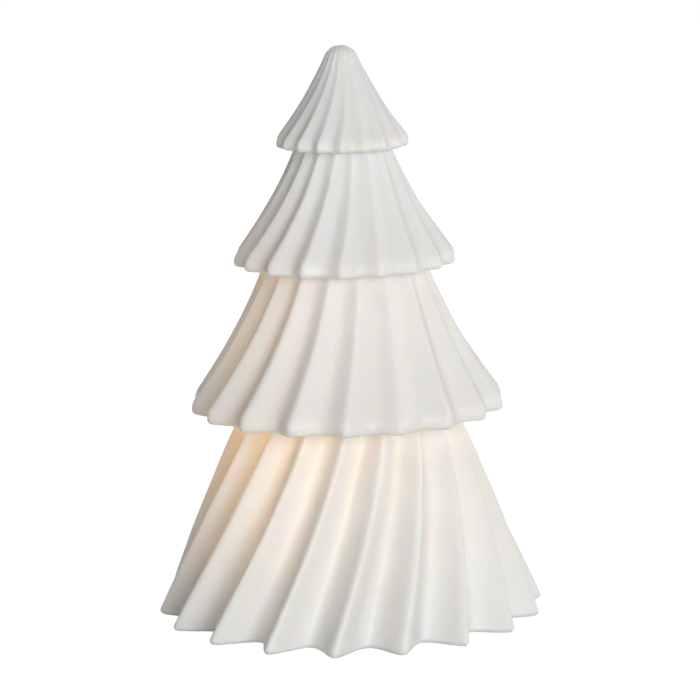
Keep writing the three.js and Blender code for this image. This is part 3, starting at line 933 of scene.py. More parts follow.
@dataclass(frozen=True)
class ResistorCoat:
    """Beige lacquer with four generic colour bands across the resistor."""

    name: str
    middle_mm: float
    bands: tuple[tuple[float, Triple], ...] = (
        (-1.25, (0.28, 0.08, 0.02)), (-0.55, (0.02, 0.02, 0.02)),
        (0.1, (0.3, 0.02, 0.02)), (1.2, (0.55, 0.36, 0.08)),
    )
    band_half_mm: float = 0.17

    def material(self) -> Material:
        """Mixes the lacquer's looks.

        Returns:
            The lacquer, with each band at its own place along X.
        """
        board = NodeBoard(self.name)
        along = board.along_x()
        drops = board.noise(0.8, detail=2)
        colour = board.mix(drops, (0.62, 0.5, 0.31, 1), (0.55, 0.43, 0.26, 1))
        for offset, band_colour in self.bands:
            away = board.math("SUBTRACT", along, (self.middle_mm + offset) * MM)
            inside = board.math("LESS_THAN", board.math("ABSOLUTE", away), self.band_half_mm * MM)
            colour = board.mix(inside, colour, (*band_colour, 1))
        return board.finish(Base_Color=colour, Roughness=0.3, Normal=board.bump(drops, 0.02), Coat_Weight=0.4)


@dataclass(frozen=True)
class ClearEpoxy:
    """The lamp's clear body, with a warm tint and faint flow marks."""

    name: str = "lamp_epoxy"
    colour: Triple = (1.0, 0.93, 0.78)

    def material(self) -> Material:
        """Mixes the epoxy's looks.

        Returns:
            The epoxy, clear all through.
        """
        board = NodeBoard(self.name)
        flow = board.noise(2.5, detail=2)
        tint = board.mix(board.math("MULTIPLY", flow, 0.3), (*self.colour, 1), (1.0, 0.86, 0.6, 1))
        return board.finish(
            Base_Color=tint, Roughness=0.04, IOR=1.52, Transmission_Weight=0.85, Normal=board.bump(flow, 0.01),
        )


@dataclass(frozen=True)
class LitPhosphor:
    """The lamp's small yellow phosphor dot, lit."""

    name: str = "lit_phosphor"
    light: Triple = (1.0, 0.68, 0.3)
    strength: float = 6.0

    def material(self) -> Material:
        """Mixes the phosphor's looks.

        Returns:
            Yellow phosphor that shines warm white.
        """
        board = NodeBoard(self.name)
        grains = board.noise(0.1, detail=1)
        colour = board.mix(grains, (0.9, 0.62, 0.1, 1), (0.8, 0.5, 0.07, 1))
        return board.finish(
            Base_Color=colour, Roughness=0.6,
            Emission_Color=(*self.light, 1), Emission_Strength=self.strength,
        )


# ---------------------------------------------------------------- turned, bent and eased pieces


def turned(name: str, profile: list[tuple[float, float]], sides: int = 32,
           along: Triple = (0, 0, 1), place: Triple = (0, 0, 0),
           ring: bool = False) -> Piece:
    """Extrudes a circle through a profile, and turns the result to its direction and place.

    Args:
        name: The piece's name.
        profile: Radius and height of each level. A ring's last level is its first again.
        sides: Points round the circle.
        along: The direction of growing height.
        place: Where height 0 stands.
        ring: Whether the profile closes on itself round an open middle.

    Returns:
        The closed piece, settled.
    """
    radius, height = profile[0]
    bpy.ops.mesh.primitive_circle_add(
        vertices=sides, radius=radius * MM, fill_type="NOTHING" if ring else "NGON", location=mm(0, 0, height),
    )
    piece = start_piece(name)
    bpy.ops.mesh.select_all(action="SELECT")
    for (old_radius, old_height), (new_radius, new_height) in zip(profile, profile[1:]):
        rise = {"value": mm(0, 0, new_height - old_height)}
        if ring:
            bpy.ops.mesh.extrude_edges_move(TRANSFORM_OT_translate=rise)
        else:
            bpy.ops.mesh.extrude_region_move(TRANSFORM_OT_translate=rise)
        share = new_radius / old_radius
        bpy.ops.transform.resize(value=(share, share, 1), center_override=(0, 0, 0))
    bpy.ops.mesh.select_all(action="SELECT")
    if ring:
        bpy.ops.mesh.remove_doubles(threshold=1e-7)
    bpy.ops.mesh.normals_make_consistent(inside=False)
    bpy.ops.object.mode_set(mode="OBJECT")
    piece.rotation_mode = "QUATERNION"
    piece.rotation_quaternion = Vector((0, 0, 1)).rotation_difference(Vector(along))
    piece.location = mm(*place)
    return settle(piece)


def bent_wire(name: str, points: list[Triple], radius: float, sides: int = 12,
              rounding: int = 4) -> Piece:
    """Bends a round wire along a smooth path and closes its ends.

    Args:
        name: The piece's name.
        points: The path, in millimetres.
        radius: The wire's radius, in millimetres.
        sides: Points round the wire.
        rounding: Steps between two points of the path.

    Returns:
        The wire as a mesh, settled.
    """
    curve = bpy.data.curves.new(name, "CURVE")
    curve.dimensions = "3D"
    curve.bevel_depth = radius * MM
    curve.bevel_resolution = sides // 2 - 2
    curve.resolution_u = rounding
    curve.use_fill_caps = True
    spline = curve.splines.new("BEZIER")
    spline.bezier_points.add(len(points) - 1)
    for knot, point in zip(spline.bezier_points, points):
        knot.co = mm(*point)
        knot.handle_left_type = knot.handle_right_type = "AUTO"
    wire = bpy.data.objects.new(name, curve)
    bpy.context.scene.collection.objects.link(wire)
    select_only(wire)
    bpy.ops.object.convert(target="MESH")
    wire = bpy.context.object
    bpy.ops.object.mode_set(mode="EDIT")
    bpy.ops.mesh.select_all(action="SELECT")
    bpy.ops.mesh.remove_doubles(threshold=1e-7)
    bpy.ops.mesh.normals_make_consistent(inside=False)
    return settle(wire)


def eased_copy(node: str, name: str, edge_mm: float, degrees: float = 30.0) -> Piece:
    """Copies a CAD node and eases its edges, as a mould or a press leaves them.

    Args:
        node: The node to copy.
        name: The new piece's name.
        edge_mm: The width of the eased edges.
        degrees: Only edges that turn further than this are eased.

    Returns:
        The new piece, which stands for the node.
    """
    source = frame["nodes"][node]
    piece = source.copy()
    piece.data = source.data.copy()
    piece.name = piece.data.name = name
    piece.parent = None
    for key in list(piece.keys()):
        del piece[key]
    bpy.context.scene.collection.objects.link(piece)
    select_only(piece)
    bpy.ops.object.mode_set(mode="EDIT")
    bpy.ops.mesh.select_all(action="SELECT")
    bpy.ops.mesh.remove_doubles(threshold=2e-6)
    bpy.ops.mesh.dissolve_limited(angle_limit=math.radians(1))
    bpy.ops.object.mode_set(mode="OBJECT")
    bevel = piece.modifiers.new("eased_edges", "BEVEL")
    bevel.width = edge_mm * MM
    bevel.segments = 2
    bevel.limit_method = "ANGLE"
    bevel.angle_limit = math.radians(degrees)
    apply_modifiers(piece)
    smooth(piece, degrees)
    even = piece.modifiers.new("even_shading", "WEIGHTED_NORMAL")
    even.keep_sharp = True
    apply_modifiers(piece)
    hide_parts(node)
    return piece


def ride_as(piece: Piece, body: Body, material: Material) -> Piece:
    """Dresses a piece and puts it on its body.

    Args:
        piece: The finished piece.
        body: The body that it moves with.
        material: Its finish.

    Returns:
        The same piece.
    """
    dress(piece, material)
    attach(piece, body.value)
    return piece


def box_of(node: str) -> tuple[Vector, Vector]:
    """The low and high corners of a CAD node's box, in millimetres."""
    low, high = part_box(node)
    return low / MM, high / MM


def middle_of(node: str) -> Vector:
    """The middle of a CAD node's box, in millimetres."""
    low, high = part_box(node)
    return (low + high) * (0.5 / MM)


def size_of(node: str) -> Vector:
    """The size of a CAD node's box, in millimetres."""
    low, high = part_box(node)
    return (high - low) / MM


# ---------------------------------------------------------------- battery unit


@dataclass
class BatteryCase:
    """The round housing, its cover with the lamp's stem, and the battery door."""

    edge_mm: float = 0.18
    white: MouldedPlastic = MouldedPlastic("white_moulded", (0.80, 0.79, 0.755))

    def build(self) -> list[Piece]:
        """Eases the three mouldings' edges and dresses them.

        Returns:
            The three pieces.
        """
        plastic = self.white.material()
        housing = eased_copy("base_housing", "housing_shell", self.edge_mm)
        cover = eased_copy("upper_cover", "cover_shell", self.edge_mm)
        door = eased_copy("battery_door", "door_panel", self.edge_mm)
        return [
            ride_as(housing, Body.TREE, plastic),
            ride_as(cover, Body.TREE, plastic),
            ride_as(door, Body.DOOR, plastic),
        ]


@dataclass
class CellRow:
    """The cells with their springs and contacts."""

    places: tuple[str, ...] = ("front", "middle", "rear")
    plus_sides: tuple[int, ...] = (1, -1, 1)
    cell_sides: int = 48
    film_thick: float = 0.1
    film_lip: float = 1.0
    film_band: tuple[float, float] = (9.0, 6.5)
    spring_turns: float = 3.5
    spring_base: float = 2.6
    spring_tip: float = 1.7
    spring_wire: float = 0.8
    steps_per_turn: int = 16
    contacts: tuple[str, ...] = ("contact_minus", "contact_bridge_right", "contact_bridge_left", "contact_plus")

    def cell(self, place: str, side: int, metal: Material) -> list[Piece]:
        """Turns one cell: its steel can with the plus pole, and the film round it.

        Args:
            place: The cell's place in the row.
            side: The side of its plus pole along X.
            metal: The can's finish.

        Returns:
            The film, which stands for the cell's node, and the can.
        """
        node = f"cell_{place}"
        middle, size = middle_of(node), size_of(node)
        radius, length, film = size.y / 2, size.x, self.film_thick
        lip = radius - self.film_lip
        start = (middle.x - side * length / 2, middle.y, middle.z)
        can = turned(f"can_{place}", [
            (radius - 1.4, 0), (radius - 0.6, 0.12), (radius - film - 0.25, 0.35),
            (radius - film - 0.02, 0.8), (radius - film - 0.02, length - 2),
            (radius - film - 0.3, length - 1.3), (radius - 1.1, length - 1.05), (radius - 1.5, length - 1.35),
            (2.6, length - 1.3), (2.0, length - 0.95), (1.85, length - 0.15), (1.6, length),
        ], self.cell_sides, (side, 0, 0), start)
        smooth(can, 40)
        jacket = turned(f"film_{place}", [
            (lip, 0.05), (radius - 0.3, 0.1), (radius, 0.5), (radius, length - 1.6),
            (radius - 0.25, length - 1.15), (lip, length - 0.95), (lip, length - 1.02),
            (radius - 0.3, length - 1.25), (radius - film, length - 1.7), (radius - film, 0.6),
            (radius - 0.35, 0.2), (lip, 0.14), (lip, 0.05),
        ], self.cell_sides, (side, 0, 0), start, ring=True)
        smooth(jacket, 40)
        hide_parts(node)
        plus = middle.x + side * length / 2
        band_from, band_to = (plus - side * inset for inset in self.film_band)
        film_finish = PrintedFilm(f"film_{place}", band_from, band_to).material()
        return [
            ride_as(jacket, Body.TREE, film_finish),
            ride_as(can, Body.TREE, metal),
        ]

    def spring(self, place: str, side: int, metal: Material) -> Piece:
        """Winds one cone-shaped spring from round wire.

        Args:
            place: The cell's place in the row.
            side: The side of the cell's plus pole, opposite the spring.
            metal: The spring's finish.

        Returns:
            The spring, which stands for its node.
        """
        node = f"spring_{place}"
        low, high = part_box(node)
        cell = middle_of(f"cell_{place}")
        foot = (low.x if side > 0 else high.x) / MM
        length = size_of(node).x - self.spring_wire
        count = round(self.spring_turns * self.steps_per_turn)
        points = []
        for step in range(count + 1):
            share = step / count
            angle = share * self.spring_turns * FULL_TURN
            radius = self.spring_base + (self.spring_tip - self.spring_base) * share
            rise = self.spring_wire / 2 + share * length
            points.append((
                foot + side * rise, cell.y + radius * math.sin(angle), cell.z - side * radius * math.cos(angle),
            ))
        wire = bent_wire(f"coil_{place}", points, self.spring_wire / 2, rounding=2)
        smooth(wire, 50)
        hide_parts(node)
        return ride_as(wire, Body.TREE, metal)

    def build(self) -> list[Piece]:
        """Makes the row.

        Returns:
            All its pieces.
        """
        steel = PlatedMetal("can_steel", drawn=(1.0, 0.1, 0.1)).material()
        sprung = PlatedMetal("spring_steel", (0.8, 0.78, 0.74), 0.2).material()
        pressed = PlatedMetal("contact_steel", (0.79, 0.77, 0.72), 0.22, (1.0, 1.0, 0.08)).material()
        pieces = []
        for place, side in zip(self.places, self.plus_sides):
            pieces += self.cell(place, side, steel)
            pieces.append(self.spring(place, side, sprung))
        for node in self.contacts:
            plate = eased_copy(node, node.replace("contact", "plate"), 0.06)
            pieces.append(ride_as(plate, Body.TREE, pressed))
        return pieces


@dataclass
class ControlBoard:
    """The circuit board with its parts and the slide switch."""

    pad_radius: float = 0.85
    lead_x: tuple[float, ...] = (-8.2, -2.2, 2.2, 8.2)
    lead_inset: float = 1.4
    crystal_radius: float = 1.0
    crystal_length: float = 6.0
    crystal_wire: float = 0.2
    wire_spacing: float = 0.5
    resistor_radius: float = 0.93
    resistor_half: float = 1.7
    resistor_wire: float = 0.22

    def pads(self, metal: Material) -> list[Piece]:
        """Turns the solder that holds each lead on the board.

        Args:
            metal: The solder's finish.

        Returns:
            One small cone for each lead.
        """
        low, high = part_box("circuit_board")
        y, top = low.y / MM + self.lead_inset, high.z / MM
        pads = []
        for number, x in enumerate(self.lead_x):
            pad = turned(f"solder_{number + 1}", [
                (self.pad_radius + 0.3, 0), (self.pad_radius + 0.3, 0.05), (self.pad_radius, 0.08),
                (self.pad_radius * 0.8, 0.22), (self.pad_radius * 0.72, 0.5), (0.5, 0.75), (0.2, 0.82),
            ], 24, place=(x, y, top))
            smooth(pad, 60)
            pads.append(ride_as(pad, Body.TREE, metal))
        return pads

    def crystal(self, metal: Material) -> list[Piece]:
        """Turns the timer crystal's drawn can, with its two wires bent to the board.

        Args:
            metal: The can's finish.

        Returns:
            The can, which stands for its node, and its wires.
        """
        low, high = box_of("timer_crystal")
        radius, length = self.crystal_radius, self.crystal_length
        y, z = (low.y + high.y) / 2, high.z - radius
        can = turned("crystal_can", [
            (0.88, 0), (0.94, 0.05), (0.94, 0.35), (radius, 0.4), (radius, length - 0.4),
            (0.93, length - 0.15), (0.7, length),
        ], 32, (1, 0, 0), (high.x - length, y, z))
        smooth(can, 40)
        wires = []
        for side, end in ((-1, "front"), (1, "rear")):
            beside = y + side * self.wire_spacing
            wire = bent_wire(f"crystal_wire_{end}", [
                (high.x - 5.8, beside, z), (high.x - 6.7, beside, z),
                (high.x - 7.0, beside, z - 0.45), (high.x - 7.0, beside, low.z + 0.02),
            ], self.crystal_wire)
            smooth(wire, 50)
            wires.append(ride_as(wire, Body.TREE, metal))
        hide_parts("timer_crystal")
        return [ride_as(can, Body.TREE, metal), *wires]

    def resistor(self, metal: Material) -> list[Piece]:
        """Turns the resistor's dog-bone body and bends its wires to the board.

        Args:
            metal: The wires' finish.

        Returns:
            The body, which stands for its node, and its wires.
        """
        low, high = box_of("led_resistor")
        middle = (low + high) / 2
        radius, half = self.resistor_radius, self.resistor_half
        axis = high.z - radius - 0.02
        body = turned("resistor_body", [
            (0.5, -half), (0.8, -half + 0.1), (radius, -half + 0.35), (radius, -half + 0.85),
            (0.78, -half + 1.15), (0.76, 0), (0.78, half - 1.15),
            (radius, half - 0.85), (radius, half - 0.35), (0.8, half - 0.1), (0.5, half),
        ], 32, (1, 0, 0), (middle.x, middle.y, axis))
        smooth(body, 50)
        wires = []
        for side, end, limit in ((-1, "left", low.x), (1, "right", high.x)):
            reach = limit - side * self.resistor_wire
            wire = bent_wire(f"resistor_wire_{end}", [
                (middle.x + side * (half - 0.2), middle.y, axis), (reach - side * 0.5, middle.y, axis),
                (reach, middle.y, high.z - radius - 0.45), (reach, middle.y, low.z + 0.02),
            ], self.resistor_wire)
            smooth(wire, 50)
            wires.append(ride_as(wire, Body.TREE, metal))
        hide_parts("led_resistor")
        lacquer = ResistorCoat("resistor_coat", middle.x).material()
        return [ride_as(body, Body.TREE, lacquer), *wires]

    def build(self) -> list[Piece]:
        """Makes the board, its parts and the switch.

        Returns:
            All its pieces.
        """
        metal = PlatedMetal("tinned_wire", (0.74, 0.74, 0.72), 0.28).material()
        black = MouldedPlastic("black_moulded", (0.018, 0.018, 0.02), 0.42, 0.2, 0.006).material()
        resin = MouldedPlastic("chip_resin", (0.025, 0.025, 0.026), 0.55, 0.1, 0.004).material()
        board = eased_copy("circuit_board", "board_plate", 0.05)
        chip = eased_copy("timer_chip", "chip_case", 0.05)
        shell = eased_copy("switch_body", "switch_shell", 0.1)
        knob = eased_copy("switch_knob", "switch_grip", 0.06)
        pieces = [
            ride_as(board, Body.TREE, BoardLaminate().material()),
            ride_as(chip, Body.TREE, resin),
            ride_as(shell, Body.TREE, black),
            ride_as(knob, Body.KNOB, black),
            *self.crystal(metal),
            *self.resistor(metal),
        ]
        return pieces + self.pads(metal)


@dataclass(frozen=True)
class ScrewSize:
    """A pan head screw's radii and the height of its head."""

    shank: float
    head: float
    head_height: float


@dataclass
class ScrewSet:
    """The cover's and the board's pan head screws."""

    cover_size: ScrewSize = ScrewSize(1.1, 2.0, 1.4)
    board_size: ScrewSize = ScrewSize(0.8, 1.6, 1.1)
    cover: tuple[str, ...] = ("cover_screw_fl", "cover_screw_fr", "cover_screw_rr", "cover_screw_rl")
    board: tuple[str, ...] = ("board_screw_left", "board_screw_right")
    thread_pitch: float = 0.75

    def screw(self, node: str, size: ScrewSize, metal: Material) -> Piece:
        """Turns one screw with thread grooves and cuts its cross recess.

        Args:
            node: The CAD node that it stands for.
            size: Its size.
            metal: Its finish.

        Returns:
            The screw.
        """
        low, high = box_of(node)
        middle = (low + high) / 2
        shank, head, head_height = size.shank, size.head, size.head_height
        seat = high.z - head_height - low.z
        profile = [(0.12, 0), (shank * 0.55, 0.5), (shank * 0.75, 1.0)]
        height = 1.1
        while height + self.thread_pitch < seat - 0.3:
            profile += [
                (shank * 0.78, height), (shank, height + self.thread_pitch * 0.45),
                (shank, height + self.thread_pitch * 0.55), (shank * 0.78, height + self.thread_pitch * 0.98),
            ]
            height += self.thread_pitch
        profile += [
            (shank * 0.8, seat - 0.2), (shank * 0.85, seat), (head * 0.96, seat), (head, seat + 0.1),
            (head, seat + head_height * 0.45), (head * 0.93, seat + head_height * 0.7),
            (head * 0.75, seat + head_height * 0.9), (head * 0.45, seat + head_height),
        ]
        screw = turned(node.replace("screw", "fixing"), profile, 28, place=(middle.x, middle.y, low.z))
        for turn in (0, 90):
            self.cut_slot(screw, Vector((middle.x, middle.y, high.z)), size, turn)
        smooth(screw, 35)
        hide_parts(node)
        return ride_as(screw, Body.TREE, metal)

    def cut_slot(self, screw: Piece, top: Vector, size: ScrewSize, turn: float) -> None:
        """Cuts one arm of the cross recess, tapered towards its floor.

        Args:
            screw: The screw.
            top: The middle of the head's top.
            size: The screw's size.
            turn: The arm's direction, in degrees.
        """
        depth = size.head_height * 0.6
        bpy.ops.mesh.primitive_cube_add(
            size=1, location=mm(top.x, top.y, top.z - depth / 2 + 0.1), rotation=(0, 0, math.radians(turn)),
            scale=(size.head * 1.25 * MM, size.head * 0.3 * MM, (depth + 0.2) * MM),
        )
        cutter = start_piece("recess_cutter")
        mesh = bmesh.from_edit_mesh(cutter.data)
        for face in mesh.faces:
            face.select_set(face.normal.z < -0.9)
        bpy.ops.transform.resize(value=(0.6, 0.6, 1), center_override=mm(*top))
        settle(cutter)
        cut = screw.modifiers.new("cross_recess", "BOOLEAN")
        cut.object = cutter
        cut.solver = "EXACT"
        apply_modifiers(screw)
        bpy.data.objects.remove(cutter)

    def build(self) -> list[Piece]:
        """Makes all six screws.

        Returns:
            The screws.
        """
        metal = PlatedMetal("zinc_plate", (0.72, 0.73, 0.74), 0.26, (1.0, 1.0, 0.3)).material()
        screws = [self.screw(node, self.cover_size, metal) for node in self.cover]
        return screws + [self.screw(node, self.board_size, metal) for node in self.board]


@dataclass
class LampOnStem:
    """The clear lamp on its stem, with its lead frame, phosphor and legs."""

    radius: float = 2.5
    collar: float = 2.95
    phosphor_height: float = 4.3
    cup_height: float = 2.4

    def build(self) -> list[Piece]:
        """Turns the lamp's body and makes what shows inside it.

        Returns:
            The lamp's pieces.
        """
        low, high = box_of("led_lens")
        height = high.z - low.z
        dome = height - self.radius
        profile = [
            (self.collar - 0.1, 0), (self.collar, 0.1), (self.collar, 0.9), (self.collar - 0.1, 1.0),
            (self.radius + 0.05, 1.0), (self.radius, 1.1), (self.radius, dome),
        ]
        for degrees in range(10, 90, 10):
            angle = math.radians(degrees)
            profile.append((self.radius * math.cos(angle), dome + self.radius * math.sin(angle)))
        lens = turned("lamp_lens", profile, 40, place=(0, 0, low.z))
        smooth(lens, 30)
        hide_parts("led_lens")
        metal = PlatedMetal("lead_frame", (0.8, 0.79, 0.76), 0.25, (1.0, 1.0, 0.1)).material()
        phosphor = turned("lamp_phosphor", [
            (0.45, 0), (0.5, 0.05), (0.5, 0.3), (0.35, 0.42), (0.15, 0.46),
        ], 20, place=(0, 0, low.z + self.phosphor_height))
        smooth(phosphor, 40)
        cup = turned("lamp_cup", [
            (0.35, 0), (0.5, 1.2), (0.85, 1.9), (0.85, 2.3), (0.78, 2.3), (0.6, 1.95),
        ], 24, place=(0, 0, low.z + self.cup_height))
        smooth(cup, 35)
        pieces = [
            ride_as(lens, Body.TREE, ClearEpoxy().material()),
            ride_as(phosphor, Body.TREE, LitPhosphor().material()),
            ride_as(cup, Body.TREE, metal),
        ]
        for node in ("led_leg_plus", "led_leg_minus"):
            leg = eased_copy(node, node.replace("led", "lamp"), 0.05)
            pieces.append(ride_as(leg, Body.TREE, metal))
        return pieces


@dataclass
class LeadSet:
    """The four insulated leads, each along the route that its bends give it."""

    radius: float = 0.6
    over_bay: float = 15.9
    bay_edge: float = 18.65
    landing: float = 20.7
    board_top: float = 8.5
    stem_top: float = 46.1
    cover_top: float = 26.1
    leg_length: float = 9.0
    leg_x: float = 1.27
    lamp_x: float = 2.2
    lamp_bend: float = 5.0
    tail: tuple[float, float] = (24.65, 11.3)
    cell_x: float = 8.2
    cell_bend: float = 4.0

    def end(self, x: float, over: float) -> list[Triple]:
        """Lists the end that all leads share: past the bay's edge and down onto the board.

        Args:
            x: The lead's place along the board.
            over: The height at which it crosses.

        Returns:
            Points of the end.
        """
        return [
            (x, self.landing - 0.4, over - 1.6), (x, self.landing, over - 4),
            (x, self.landing, self.board_top + 0.3),
        ]

    def lamp_route(self, side: int) -> list[Triple]:
        """Lists a lead's way from one leg of the lamp down the stem and over the bay.

        Args:
            side: -1 for the left leg, 1 for the right one.

        Returns:
            Points from the leg to the board.
        """
        over = self.over_bay + 2 * self.radius
        leg_x, board_x = side * self.leg_x, side * self.lamp_x
        return [
            (leg_x, 0, self.stem_top - self.leg_length), (leg_x, 0, self.cover_top),
            (leg_x, self.radius, over + self.lamp_bend), (leg_x, self.lamp_bend, over + self.radius),
            (board_x, self.bay_edge / 2, over), (board_x, self.bay_edge - self.radius, over),
            *self.end(board_x, over),
        ]

    def cell_route(self, side: int) -> list[Triple]:
        """Lists a lead's way from the solder tail at one end of the cells, over the bay.

        Args:
            side: -1 for the left end, 1 for the right one.

        Returns:
            Points from the tail to the board.
        """
        over = self.over_bay + 1.5 * self.radius
        tail_x, tail_y = side * self.tail[0], side * self.tail[1]
        board_x = side * self.cell_x
        return [
            (tail_x, tail_y, over), (tail_x - side * self.cell_bend, tail_y + self.radius, over),
            (board_x + side * self.cell_bend, (tail_y + self.bay_edge) / 2, over),
            (board_x, self.bay_edge - self.radius, over), *self.end(board_x, over),
        ]

    def build(self) -> list[Piece]:
        """Bends and dresses the leads.

        Returns:
            The four leads.
        """
        red = MouldedPlastic("red_cover", (0.42, 0.012, 0.01), 0.4, 0.6, 0.004).material()
        black = MouldedPlastic("black_cover", (0.014, 0.014, 0.015), 0.4, 0.6, 0.004).material()
        routes = {
            "lead_led_plus": (self.lamp_route(1), Slot.RED_LEAD, red),
            "lead_led_minus": (self.lamp_route(-1), Slot.BLACK_LEAD, black),
            "lead_cell_plus": (self.cell_route(1), Slot.RED_LEAD, red),
            "lead_cell_minus": (self.cell_route(-1), Slot.BLACK_LEAD, black),
        }
        leads = []
        for node, (route, slot, material) in routes.items():
            lead = bent_wire(node.replace("lead", "wire"), route, self.radius, rounding=8)
            smooth(lead, 60)
            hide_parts(node)
            leads.append(ride_as(lead, Body.TREE, material))
        return leads


# ---------------------------------------------------------------- studio


@dataclass(frozen=True)
class SoftLamp:
    """One soft studio lamp, aimed at the tree from a compass direction and a height.

    Its direction counts from the viewer's side, positive to the viewer's right.
    """

    name: str
    direction: float
    elevation: float
    watts: float
    distance: float = 1.3
    size: float = 0.7

    def build(self, aim: Vector) -> None:
        """Adds the lamp.

        Args:
            aim: The point that it faces, in metres.
        """
        data = bpy.data.lights.new(self.name, "AREA")
        data.shape = "DISK"
        data.size = self.size
        data.energy = self.watts
        turn, rise = math.radians(self.direction), math.radians(self.elevation)
        away = Vector((math.sin(turn) * math.cos(rise), -math.cos(turn) * math.cos(rise), math.sin(rise)))
        lamp = bpy.data.objects.new(self.name, data)
        lamp.location = aim + away * self.distance
        lamp.rotation_euler = away.to_track_quat("Z", "Y").to_euler()
        bpy.context.scene.collection.objects.link(lamp)


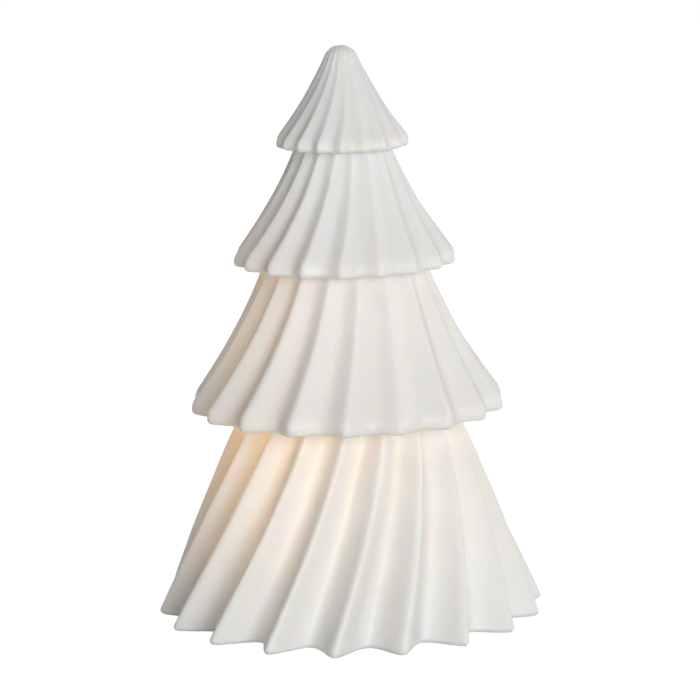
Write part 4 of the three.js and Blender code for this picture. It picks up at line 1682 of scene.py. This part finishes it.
@dataclass
class Studio:
    """The pale floor, the soft lamps, the even surroundings and the camera."""

    lamps: tuple[SoftLamp, ...] = (
        SoftLamp("front_lamp", 20, 10, 10.5),
        SoftLamp("side_lamp", 105, 10, 3.5),
        SoftLamp("left_lamp", -70, 10, 1.5),
        SoftLamp("top_lamp", -10, 55, 2.2),
        SoftLamp("back_lamp", 178, 15, 9.0),
        SoftLamp("under_lamp", 15, -60, 15.0),
    )
    lamp_aim: Triple = (0.0, 0.0, 0.08)
    surround: float = 0.05
    floor_height: float = -0.0001
    floor_colour: float = 0.56
    floor_shade: float = 0.25
    floor_white: float = 0.96
    shade_ends: tuple[float, float] = (0.22, 0.55)
    floor_hole: float = 0.045
    floor_reach: float = 3.0
    camera_place: Triple = (0.0, -0.95, 0.257)
    camera_aim: Triple = (0.0011, 0.0, 0.08355)
    focal_pixels: float = 3056.85
    picture_pixels: float = 700.0
    roll_degrees: float = 1.1
    sensor_width: float = 36.0
    view_depth: float = 20.0

    def white_for_camera(self, node_tree: bpy.types.NodeTree, plain: bpy.types.Node,
                         white: bpy.types.Node, output: Socket) -> None:
        """Shows white to the camera, to gloss and through glass, and the plain shader elsewhere.

        Args:
            node_tree: The nodes of the world or of the floor's material.
            plain: The shader that lights the tree.
            white: The shader that is seen.
            output: The socket that takes the result.
        """
        join = node_tree.links.new
        path = node_tree.nodes.new("ShaderNodeLightPath")
        seen = path.outputs["Is Camera Ray"]
        for ray in ("Is Glossy Ray", "Is Transmission Ray"):
            either = node_tree.nodes.new("ShaderNodeMath")
            either.operation = "MAXIMUM"
            join(seen, either.inputs[0])
            join(path.outputs[ray], either.inputs[1])
            seen = either.outputs[0]
        mix = node_tree.nodes.new("ShaderNodeMixShader")
        for source, target in zip((seen, plain.outputs[0], white.outputs[0]), mix.inputs):
            join(source, target)
        join(mix.outputs[0], output)

    def world(self) -> None:
        """Even, neutral surroundings that show as white."""
        world = bpy.data.worlds.new("studio")
        world.use_nodes = True
        bpy.context.scene.world = world
        nodes = world.node_tree.nodes
        nodes.clear()
        plain = nodes.new("ShaderNodeBackground")
        plain.inputs["Color"].default_value = (1, 1, 1, 1)
        plain.inputs["Strength"].default_value = self.surround
        white = nodes.new("ShaderNodeBackground")
        white.inputs["Color"].default_value = (1, 1, 1, 1)
        output = nodes.new("ShaderNodeOutputWorld")
        self.white_for_camera(world.node_tree, plain, white, output.inputs["Surface"])

    def floor(self) -> None:
        """A pale floor that runs out of the picture and takes the tree's shadow.

        A round hole, hidden under the foot, leaves the battery unit open to view from below.
        """
        deselect_all()
        middle = (0, 0, self.floor_height)
        bpy.ops.mesh.primitive_circle_add(
            vertices=96, radius=self.floor_hole, fill_type="NOTHING", location=middle,
        )
        bpy.ops.object.mode_set(mode="EDIT")
        bpy.ops.mesh.select_all(action="SELECT")
        bpy.ops.mesh.extrude_edges_move()
        grow = self.floor_reach / self.floor_hole
        bpy.ops.transform.resize(value=(grow, grow, 1), center_override=middle)
        floor = settle(bpy.context.object)
        floor.name = floor.data.name = "studio_floor"
        board = NodeBoard("pale_floor")
        plain, shaded = board.add("BsdfDiffuse"), board.add("BsdfDiffuse")
        plain.inputs["Color"].default_value = (*[self.floor_colour] * 3, 1)
        shaded.inputs["Color"].default_value = (*[self.floor_shade] * 3, 1)
        away = board.add("VectorMath", operation="LENGTH")
        board.wire(board.place(), away.inputs[0])
        rise = board.add("MapRange", interpolation_type="SMOOTHSTEP")
        rise.inputs["From Min"].default_value, rise.inputs["From Max"].default_value = self.shade_ends
        rise.inputs["To Min"].default_value = self.floor_white
        rise.inputs["To Max"].default_value = 1.0
        board.wire(away.outputs["Value"], rise.inputs["Value"])
        white = board.add("Emission")
        board.wire(rise.outputs["Result"], white.inputs["Strength"])
        seen = board.add("AddShader")
        board.wire(shaded.outputs[0], seen.inputs[0])
        board.wire(white.outputs[0], seen.inputs[1])
        output = board.add("OutputMaterial")
        self.white_for_camera(board.material.node_tree, plain, seen, output.inputs["Surface"])
        dress(floor, board.material)

    def camera(self) -> None:
        """The camera at the photograph's viewing angle."""
        data = bpy.data.cameras.new("camera")
        data.sensor_width = self.sensor_width
        data.lens = self.focal_pixels / self.picture_pixels * data.sensor_width
        data.clip_end = self.view_depth
        camera = bpy.data.objects.new("camera", data)
        place = Vector(self.camera_place)
        view = (Vector(self.camera_aim) - place).to_track_quat("-Z", "Y").to_matrix().to_4x4()
        roll = Matrix.Rotation(math.radians(-self.roll_degrees), 4, "Z")
        camera.matrix_world = Matrix.Translation(place) @ view @ roll
        bpy.context.scene.collection.objects.link(camera)
        bpy.context.scene.camera = camera

    def build(self) -> None:
        """Sets up the whole studio."""
        bpy.context.scene.view_settings.view_transform = "Standard"
        self.world()
        self.floor()
        for lamp in self.lamps:
            lamp.build(Vector(self.lamp_aim))
        self.camera()


def main() -> None:
    """Builds every piece and the studio."""
    logging.basicConfig(level=logging.INFO, format="%(name)s: %(message)s")
    deselect_all()
    Studio().build()
    log.info("studio set up")
    for group in (WaxTree(), BatteryCase(), CellRow(), ControlBoard(), ScrewSet(), LampOnStem(), LeadSet()):
        for piece in group.build():
            log.info("%s, %s: %d faces", type(group).__name__, piece.name, len(piece.data.polygons))


if __name__ == "__main__":
    main()
